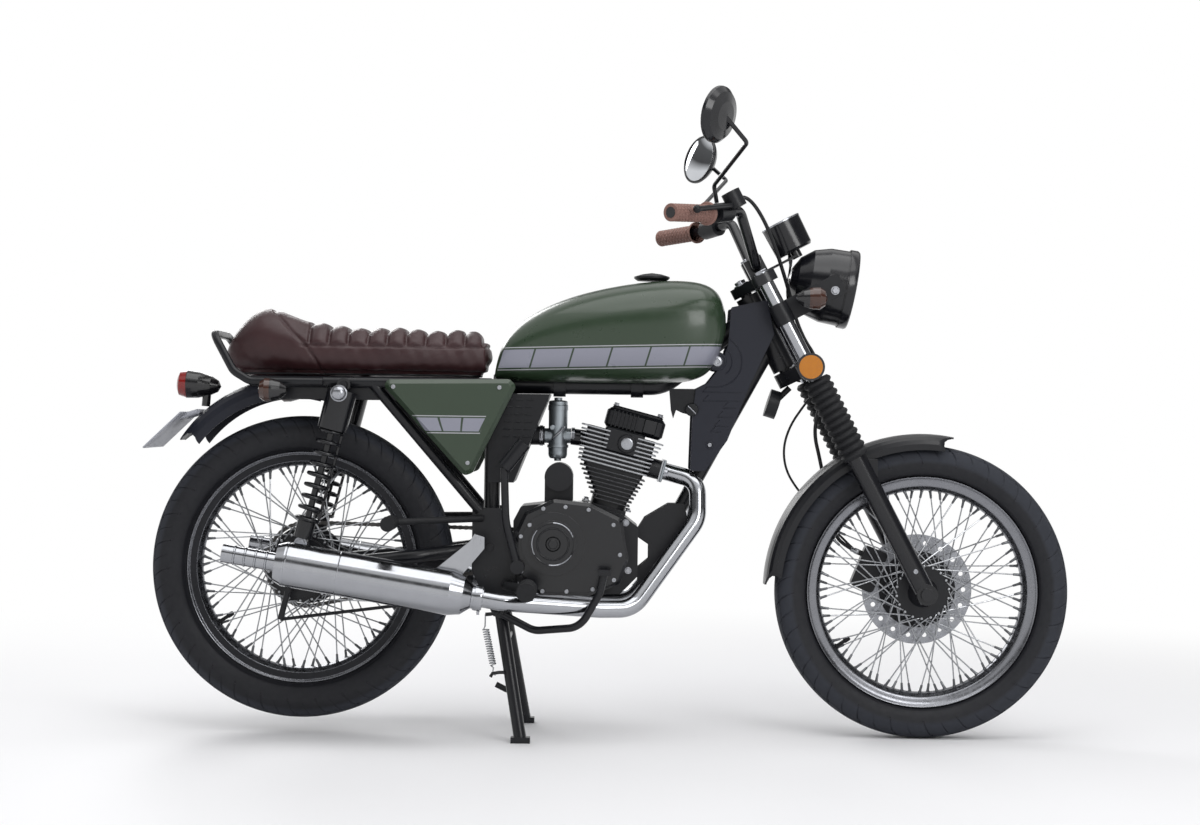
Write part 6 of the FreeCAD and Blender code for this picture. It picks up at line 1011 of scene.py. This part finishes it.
def body_trim():
    """Louvres, ribs and bolts of the bodywork."""
    form = Form()
    louvres = ((0.7285, 0.1925, 0.276), (0.71, 0.1935, 0.27), (0.6955, 0.235, 0.263), (0.6765, 0.224, 0.256),
               (0.6575, 0.218, 0.246), (0.645, 0.21, 0.234))
    for side in SIDES:
        out = Vector((0, side, 0))
        skin = side * 0.062
        tab = Vector((0.2225, side * 0.0575, 0.7935))
        form.lathe([(0, 0), (20, 0), (20, 4.2), (18.8, 5.8), (16.5, 6.2), (16, 5), (0, 5)], tab, out, 40)
        form.lathe([(0, 0), (10.5, 0), (10.5, 2.2), (8.5, 3.6), (5, 3.8), (4.5, 2.4), (0, 2.4)],
                    tab + out * 0.0048, out, 24, 1)
        for reach in (0.033, 0.054):
            arc = [Vector((0.2205, skin, 0.7935)) + round_spot(math.radians(64 - 154 * index / 24), reach)
                   for index in range(25)]
            arc = [spot for spot in arc if spot.x > 0.241 or spot.z < 0.752]
            if reach > 0.05:
                arc.append(Vector((0.2, skin, arc[-1].z)))
            form.tube(arc, 0.0013, 8)
        low = Vector((0.2085, skin, 0.6175))
        form.lathe([(6, 0), (8.5, 0), (8.5, 1.2), (6, 1.6)], low, out, 24)
        form.socket(low, out, 8.5, 3, 1)
        for z, near, far in louvres:
            form.tube([(near + 0.011, skin, z + 0.0125), (near, skin, z), (far, skin, z)],
                      [0.0008, 0.0013, 0.0008], 8)
    piece("shroud_trim", form, "satin_blue_black bright_steel", "frame")
    form = Form()
    for side in SIDES:
        for row in range(6):
            for column in range(3):
                x = -0.22 + 0.0215 * column - 0.0012 * row
                z = 0.708 - 0.0155 * row
                ends = [beside("airbox", x + step, z, side) + Vector((0, side * 0.0002, 0))
                        for step in (0, 0.0075, 0.015)]
                form.tube(ends, [0.0016, 0.002, 0.0016], 6)
    piece("airbox_ribs", form, "black_plastic", "frame")
    form = Form()
    bracket = ((0.122, 0.735), (0.2, 0.735), (0.2, 0.684), (0.18, 0.677), (0.15, 0.684), (0.137, 0.69),
               (0.131, 0.672), (0.126, 0.69))
    form.solid([[Vector((x, y, z)) for x, z in bracket] for y in (-0.0568, -0.0528)])
    knob = Vector((0.17, -0.0566, 0.691))
    form.lathe([(0, 0), (13.8, 0), (13.8, 9.5), (12.5, 11), (8, 11.2), (0, 11.8)], knob, (0, -1, 0), 28)
    form.tube([(0.1615, -0.0684, 0.6995), (0.1785, -0.0684, 0.6825)], 0.0012, 6, 1)
    for side in SIDES:
        heads(form, "side_covers", ((-0.232, 0.732), (-0.452, 0.731), (-0.296, 0.575)), 9, 3, side, 1,
              sunk=0.0004)
        top = beside("shocks", -0.562, 0.716, side)
        form.lathe([(0, -0.5), (17.5, -0.5), (17.5, 2.5), (15, 3.2), (15, 8), (12.5, 12.5), (7, 15.5),
                    (0, 16.2)], top, (0, side, 0), 24, 1)
        form.hexagon((-0.64, side * 0.1392, 0.404), (0, side, 0), 19, 9, 1)
    piece("body_bolts", form, "black_plastic bright_steel", "frame")


body_trim()


def exhaust_trim():
    """Clamps at the mufflers' mouths and bands along them."""
    form = Form()
    slope = math.radians(9.3)
    back = Vector((-math.cos(slope), 0, math.sin(slope)))
    for side in SIDES:
        mouth = Vector((-0.276, side * 0.192, 0.301)) - back * 0.018
        form.lathe([(24, 2), (26.2, 2), (26.8, 4), (26.8, 16), (26.2, 18), (24, 18)], mouth, back, 40)
        ear = mouth + back * 0.01 + Vector((0, 0, -0.029))
        form.tube([ear + Vector((0, -0.01, 0)), ear + Vector((0, 0.01, 0))], 0.0032, 10)
        for y in (-0.0035, 0.0035):
            form.tube([ear + Vector((0, y, 0.003)), ear + Vector((0, y, -0.005))], 0.0028, 6)
        for along in (0.3, 0.408):
            form.lathe([(45.6, -2.2), (46.8, 0), (45.6, 2.2)], mouth + back * along, back, 56)
        for step in range(4):
            form.lathe([(19, -2.5), (20.6, -1.2), (20.6, 1.2), (19, 2.5)],
                        mouth + back * (0.45 + 0.022 * step), back)
    piece("muffler_bands", form, "chrome_plate", "frame")


exhaust_trim()


CHAIN_PITCH = 0.0127
CHAIN_ACROSS = 0.066
FRONT_SPROCKET = Vector((-0.196, 0, 0.392))


def drive_links():
    """Roller chain: outer and inner plates on their pins, round both sprockets."""
    small, large = 0.0363, 0.0903
    run = FRONT_SPROCKET - REAR_AXLE
    heading = math.atan2(run.z, run.x)
    lean = math.acos((large - small) / run.length)
    sweep = 2 * math.pi - 2 * lean
    path = [FRONT_SPROCKET + round_spot(heading + lean - 2 * lean * index / 40, small)
            for index in range(41)]
    path += [REAR_AXLE + round_spot(heading - lean - sweep * index / 80, large) for index in range(81)]
    path.append(path[0])
    lengths = lengths_along(path)
    count = 2 * round(lengths[-1] / CHAIN_PITCH / 2)

    def along(index):
        distance = index * (lengths[-1] / count) % lengths[-1]
        seat = max(k for k in range(len(lengths) - 1) if lengths[k] <= distance)
        share = (distance - lengths[seat]) / (lengths[seat + 1] - lengths[seat])
        return path[seat].lerp(path[seat + 1], share)

    form = Form()
    for index in range(count):
        a = along(index)
        b = along(index + 1)
        line = (b - a).normalized()
        rise = Vector((0, 1, 0)).cross(line)
        outline = []
        for end, turn, waist in ((b, 0, 0.0034), (a, math.pi, -0.0034)):
            for step in range(5):
                angle = turn + math.radians(-64 + 32 * step)
                outline.append(end + (line * math.cos(angle) + rise * math.sin(angle)) * 0.0048)
            outline.append((a + b) / 2 + rise * waist)
        offset, half = (0.0056, 3.9) if index % 2 else (0.004, 7.5)
        for side in SIDES:
            form.solid([[point + Vector((0, CHAIN_ACROSS + side * y, 0)) for point in outline]
                        for y in (offset, offset + 0.0013)])
        for reach, wide in ((2.2, half), (3.9, 3.6)):
            form.lathe([(0, -wide), (reach, -wide), (reach, wide), (0, wide)],
                       a + Vector((0, CHAIN_ACROSS, 0)), (0, 1, 0), 8)
    piece("roller_links", form, "chain_steel", "frame", "drive_chain")


drive_links()

DROOP = math.radians(10)
LAMP_CENTRE = Vector((0.5042, 0, 0.9506))
LAMP_AHEAD = Vector((math.cos(DROOP), 0, -math.sin(DROOP)))
LAMP_UP = Vector((math.sin(DROOP), 0, math.cos(DROOP)))


def lamp_bars(form, span, pitch, rim, steps, bulge, round_at, lift, radius, lifts):
    """Bars across the domed lamp; each lift in turn belongs to upright and to level bars."""
    for index in range(-span, span + 1):
        across = index * pitch
        reach = math.sqrt(rim ** 2 - across ** 2)
        for level, more in enumerate(lifts):
            path = []
            for step in range(steps + 1):
                rise = -reach + 2 * reach * step / steps
                dome = bulge * (1 - (across ** 2 + rise ** 2) / round_at ** 2) + lift + more
                sideways, upward = (rise, across) if level else (across, rise)
                path.append(LAMP_CENTRE + Vector((0, sideways, 0)) + LAMP_UP * upward + LAMP_AHEAD * dome)
            form.tube(path, radius, 5)


def headlamp_trim():
    """Ribbed glass over a bright bowl, and the wire guard in its ring."""
    form = Form()
    form.lathe([(73.2, -2), (71.5, 0.2), (60, 3), (44, 5.2), (22, 6.6), (0, 7.2)],
                LAMP_CENTRE, LAMP_AHEAD, 72)
    form.lathe([(73.2, -2.6), (70, -4.5), (56, -8.5), (38, -11.2), (16, -12.8), (15, -6), (13, -4.5),
                (0, -4.2)], LAMP_CENTRE, LAMP_AHEAD, 72, 1)
    lamp_bars(form, 6, 0.0098, 0.066, 8, 0.0062, 0.073, -0.0012, 0.00075, (0,))
    piece("headlamp_glass", form, "lens_glass mirror_glass", "steering", "headlamp_lens", 60)
    form = Form()
    form.lathe([(83.5, -12), (84.2, -12), (84.6, 3), (82, 7.2), (77, 8), (76.2, 6.8), (80, 5.8), (82.2, 3),
                (82.2, -12)], LAMP_CENTRE, LAMP_AHEAD, 72, 1)
    lamp_bars(form, 8, 0.009, 0.0775, 12, 0.0045, 0.078, 0.0072, 0.00062, (-0.0004, 0.0004))
    piece("lamp_grille", form, "spoke_steel gloss_black", "steering", flat=50)


def dial_trim():
    """The dial's face with its marks and needle, its ring and its glass."""
    form = Form()
    face = on_fork(0.093, 0, 0.829)

    def bearing(degrees):
        angle = math.radians(degrees)
        return FORK_AHEAD * math.sin(angle) - Vector((0, math.cos(angle), 0))

    form.lathe([(0, 0.3), (37.4, 0.3), (37.4, 0)], face, FORK_UP, 64)
    form.lathe([(37.2, 0.2), (37.2, 5.8), (38.6, 6.8), (42.4, 6.8), (43.6, 5.8), (43.6, 3)],
                face, FORK_UP, 64, 1)
    level = face + FORK_UP * 0.0005
    for index in range(41):
        out = bearing(-225 + 270 * index / 40)
        inner, radius = (0.0305, 0.00032) if index % 5 else (0.0272, 0.00055)
        form.tube([level + out * inner, level + out * 0.0342], radius, 4, 2)
    out = bearing(-225)
    level = face + FORK_UP * 0.0012
    form.tube([level - out * 0.006, level + out * 0.029], [0.0011, 0.0004], 6, 3)
    form.lathe([(0, 0), (4.6, 0), (4.2, 2.2), (0, 2.6)], face, FORK_UP, 20, 1)
    piece("dial_face", form, "black_plastic bright_steel dial_print amber_lens", "steering",
          flat=50)
    form = Form()
    form.lathe([(37.1, 5), (25, 5.6), (0, 5.8)], face, FORK_UP, 48)
    piece("dial_glass", form, "lens_glass", "steering", flat=60)


def mirror_trim():
    """Mirror glass in its rim, turned to the rider."""
    form = Form()
    tilt = math.radians(15)
    turn = math.radians(33)
    for side in SIDES:
        look = round_spot(math.pi - tilt, math.cos(turn)) - Vector((0, side * math.sin(turn), 0))
        spot = Vector((0.198, side * 0.41, 1.269))
        form.lathe([(0, 0.6), (50, 0.6), (51.2, 0)], spot, look, 56)
        form.lathe([(51.2, 0), (52, 1.4), (54.5, 1.8), (56.3, 0.4), (56.6, -3), (56, -4)], spot, look, 56, 1)
    piece("mirror_faces", form, "mirror_glass gloss_black", "steering", flat=60)


def steering_screws():
    """Nuts and screws of the fork, the lamp brackets and the caliper."""
    form = Form()
    for side in SIDES:
        form.hexagon(on_fork(0, side * 0.092, 0.7538), FORK_UP, 24, 7)
        for ahead in (-0.014, 0.014):
            spot = touch("fork_clamps", on_fork(ahead, side * 0.034, 0.9), -FORK_UP)
            form.socket(spot - FORK_UP * 0.0004, FORK_UP, 9.5, 6)
        heads(form, "headlamp_brackets", ((0.466, 0.944),), 12.5, 6, side, kind="hexagon", sunk=0)
        drain = touch("fork_sliders", on_fork(0, side * 0.3, 0.055), (0, -side, 0))
        form.socket(drain, (0, side, 0), 10, 3.5)
    form.lathe([(0, 0), (16.5, 0), (16.5, 3), (12, 4), (12, 10), (0, 12)], on_fork(-0.042, 0, 0.7526),
                FORK_UP, 24)
    heads(form, "front_caliper", ((0.556, 0.382), (0.63, 0.366)), 13, 6, 1, kind="hexagon", sunk=0)
    piece("steering_nuts", form, "bright_steel", "steering")


headlamp_trim()
dial_trim()
mirror_trim()
steering_screws()


def waffle_grips():
    """Hand grips with raised diamonds between two smooth collars."""
    form = Form()
    count = 64
    steps = 92
    diamonds = 8
    diamond_length = 0.0105
    for side in SIDES:
        flange = Vector((-0.047, side * 0.24, 0.905))
        end = Vector((-0.128, side * 0.352, 0.939))
        start = on_fork(*(flange + (end - flange) * 0.1))
        tip = on_fork(*(flange + (end - flange) * 0.995))
        length = (tip - start).length
        profile = [(0, 0.0238), (0.0016, 0.024), (0.0052, 0.024), (0.007, 0.0226), (0.0078, 0.0186)]
        profile += [(0.009 + (length - 0.015) * index / steps, 0) for index in range(steps + 1)]
        profile += [(length - 0.0052, 0.018), (length - 0.001, 0.0182), (length, 0.0172), (length, 0.0105)]
        turn = facing(tip - start, start)
        rows = []
        for along, radius in profile:
            row = []
            for k in range(count):
                angle = 2 * math.pi * k / count
                reach = radius
                if not radius:
                    u = along / diamond_length
                    v = k / count * diamonds
                    edge = max(abs((u + v) % 1 - 0.5), abs((u - v) % 1 - 0.5))
                    reach = 0.0165 + 0.0016 * min(1, max(0, (0.44 - edge) / 0.1))
                row.append(turn @ Vector((reach * math.cos(angle), reach * math.sin(angle), along)))
            rows.append(row)
        form.sheet(rows, closed_columns=True)
        form.lathe([(0, -1), (10.6, -1), (10.6, 0.6), (6, 0.6), (5.2, -0.6), (0, -0.6)],
                    tip, tip - start, 28, 1)
    piece("waffle_grips", form, "brown_rubber black_plastic", "steering", "grips", 30)


waffle_grips()


def stand_spring():
    """The stand's return spring, from a pin on the frame's lug to a hook on the right leg."""
    top = Vector((-0.254, -0.142, 0.232))
    foot = Vector((-0.238, -0.142, 0.158))
    run = (foot - top).normalized()
    side = run.orthogonal().normalized()
    up = run.cross(side)
    path = [Vector((-0.248, -0.142, 0.263)), Vector((-0.255, -0.142, 0.262)), top - run * 0.006]
    coils = 15
    for index in range(coils * 12 + 1):
        angle = math.radians(30 * index)
        path.append(top + (foot - top) * index / (coils * 12)
                    + (side * math.cos(angle) + up * math.sin(angle)) * 0.0062)
    path += [foot + run * 0.006, Vector((-0.239, -0.142, 0.138)), Vector((-0.232, -0.142, 0.137))]
    form = Form()
    form.tube(path, 0.00145, 6)
    spring = piece("stand_spring", form, "spoke_steel", None, flat=60)
    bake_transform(spring)
    pin = ((-0.226, -0.1, 0.268), (-0.226, -0.131, 0.268), (-0.232, -0.138, 0.266), (-0.244, -0.142, 0.263),
           (-0.255, -0.142, 0.262))
    hook = ((-0.206, -0.126, 0.141), (-0.226, -0.138, 0.142), (-0.239, -0.142, 0.14),
            (-0.243, -0.142, 0.133))
    for name, body, route, radius in (("spring_pin", "frame", pin, 0.004),
                                      ("spring_hook", "centre_stand", hook, 0.0036)):
        form = Form()
        form.tube(route, radius)
        piece(name, form, "frame_paint", body, flat=40)


stand_spring()


def peg_ribs():
    """Raised rings round the rider's rubber pegs."""
    form = Form()
    for side in SIDES:
        for index in range(9):
            form.lathe([(18.8, -2.4), (20.6, -1.2), (20.6, 1.2), (18.8, 2.4)],
                        (-0.167, side * (0.205 + 0.0105 * index), 0.32), (0, 1, 0), 24)
    piece("peg_ribs", form, "black_rubber", "frame")


peg_ribs()

# Studio

CAMERA_PLACE = (-0.023, -5, 0.6829)
CAMERA_ROLL = -0.71
CAMERA_LENS = 70.42


def studio():
    """Camera, pale floor that fades to white, sky and three lamps."""
    scene = bpy.context.scene
    scene.view_settings.view_transform = "Standard"
    camera = bpy.data.objects.new("camera", bpy.data.cameras.new("camera"))
    camera.location = CAMERA_PLACE
    camera.rotation_euler = (math.radians(90), math.radians(CAMERA_ROLL), 0)
    camera.data.lens = CAMERA_LENS
    camera.data.sensor_width = 36
    camera.data.clip_end = 100
    scene.collection.objects.link(camera)
    scene.camera = camera

    mesh = bpy.data.meshes.new("floor")
    ring = bmesh.new()
    bmesh.ops.create_circle(ring, cap_ends=True, radius=30, segments=96)
    ring.to_mesh(mesh)
    ring.free()
    floor = bpy.data.objects.new("floor", mesh)
    scene.collection.objects.link(floor)
    pale = Finish("pale_floor", (0.8, 0.8, 0.81), 0.55, level=0.2)
    pale.set("Base Color", pale.mixed(pale.noise(1.5), (0.79, 0.79, 0.8), (0.81, 0.81, 0.82)))
    fade = pale.spread(pale.vector("LENGTH", pale.place), 0.8, 3.4, smooth=True)
    white = pale.add("Emission", {"Color": (1, 1, 1), "Strength": 1.0})
    blend = pale.add("MixShader", [pale.maths("MULTIPLY", fade, pale.seen()), pale.shader.outputs[0],
                                   white.outputs[0]])
    pale.plug(pale.tree.nodes["Material Output"].inputs["Surface"], blend.outputs[0])
    mesh.materials.append(pale.material)

    world = bpy.data.worlds.new("studio")
    scene.world = world
    world.use_nodes = True
    sky = Nodes(world.node_tree)
    height = sky.add("SeparateXYZ", [sky.add("TexCoord").outputs["Generated"]]).outputs["Z"]
    shades = sky.add("ValToRGB", [height])
    stops = ((0, 1), (0.2, 1), (0.32, 0.1), (0.5, 0.14), (0.58, 0.9), (0.8, 1), (0.9, 0.4), (1, 0.45))
    ramp = shades.color_ramp.elements
    ramp[0].color = (stops[0][1],) * 3 + (1,)
    ramp[1].color = (stops[-1][1],) * 3 + (1,)
    for place, level in stops[1:-1]:
        ramp.new(place).color = (level,) * 3 + (1,)
    background = sky.tree.nodes["Background"].inputs
    sky.plug(background["Color"], sky.mixed(sky.seen(), (0.62, 0.62, 0.63), shades.outputs["Color"]))
    background["Strength"].default_value = 1.0

    for name, place, target, size, power in (("top_box", (0.2, -0.6, 3.4), (0, 0, 0.5), 3, 60),
                                             ("right_box", (1.8, -3.2, 2.2), (0.1, 0, 0.6), 1.6, 45),
                                             ("left_box", (-1.6, 3.2, 2.2), (0, 0, 0.6), 1.6, 40)):
        light = bpy.data.lights.new(name, "AREA")
        light.shape = "SQUARE"
        light.size = size
        light.energy = power
        lamp = bpy.data.objects.new(name, light)
        lamp.location = place
        lamp.rotation_euler = (Vector(target) - Vector(place)).to_track_quat("-Z", "Y").to_euler()
        scene.collection.objects.link(lamp)


studio()
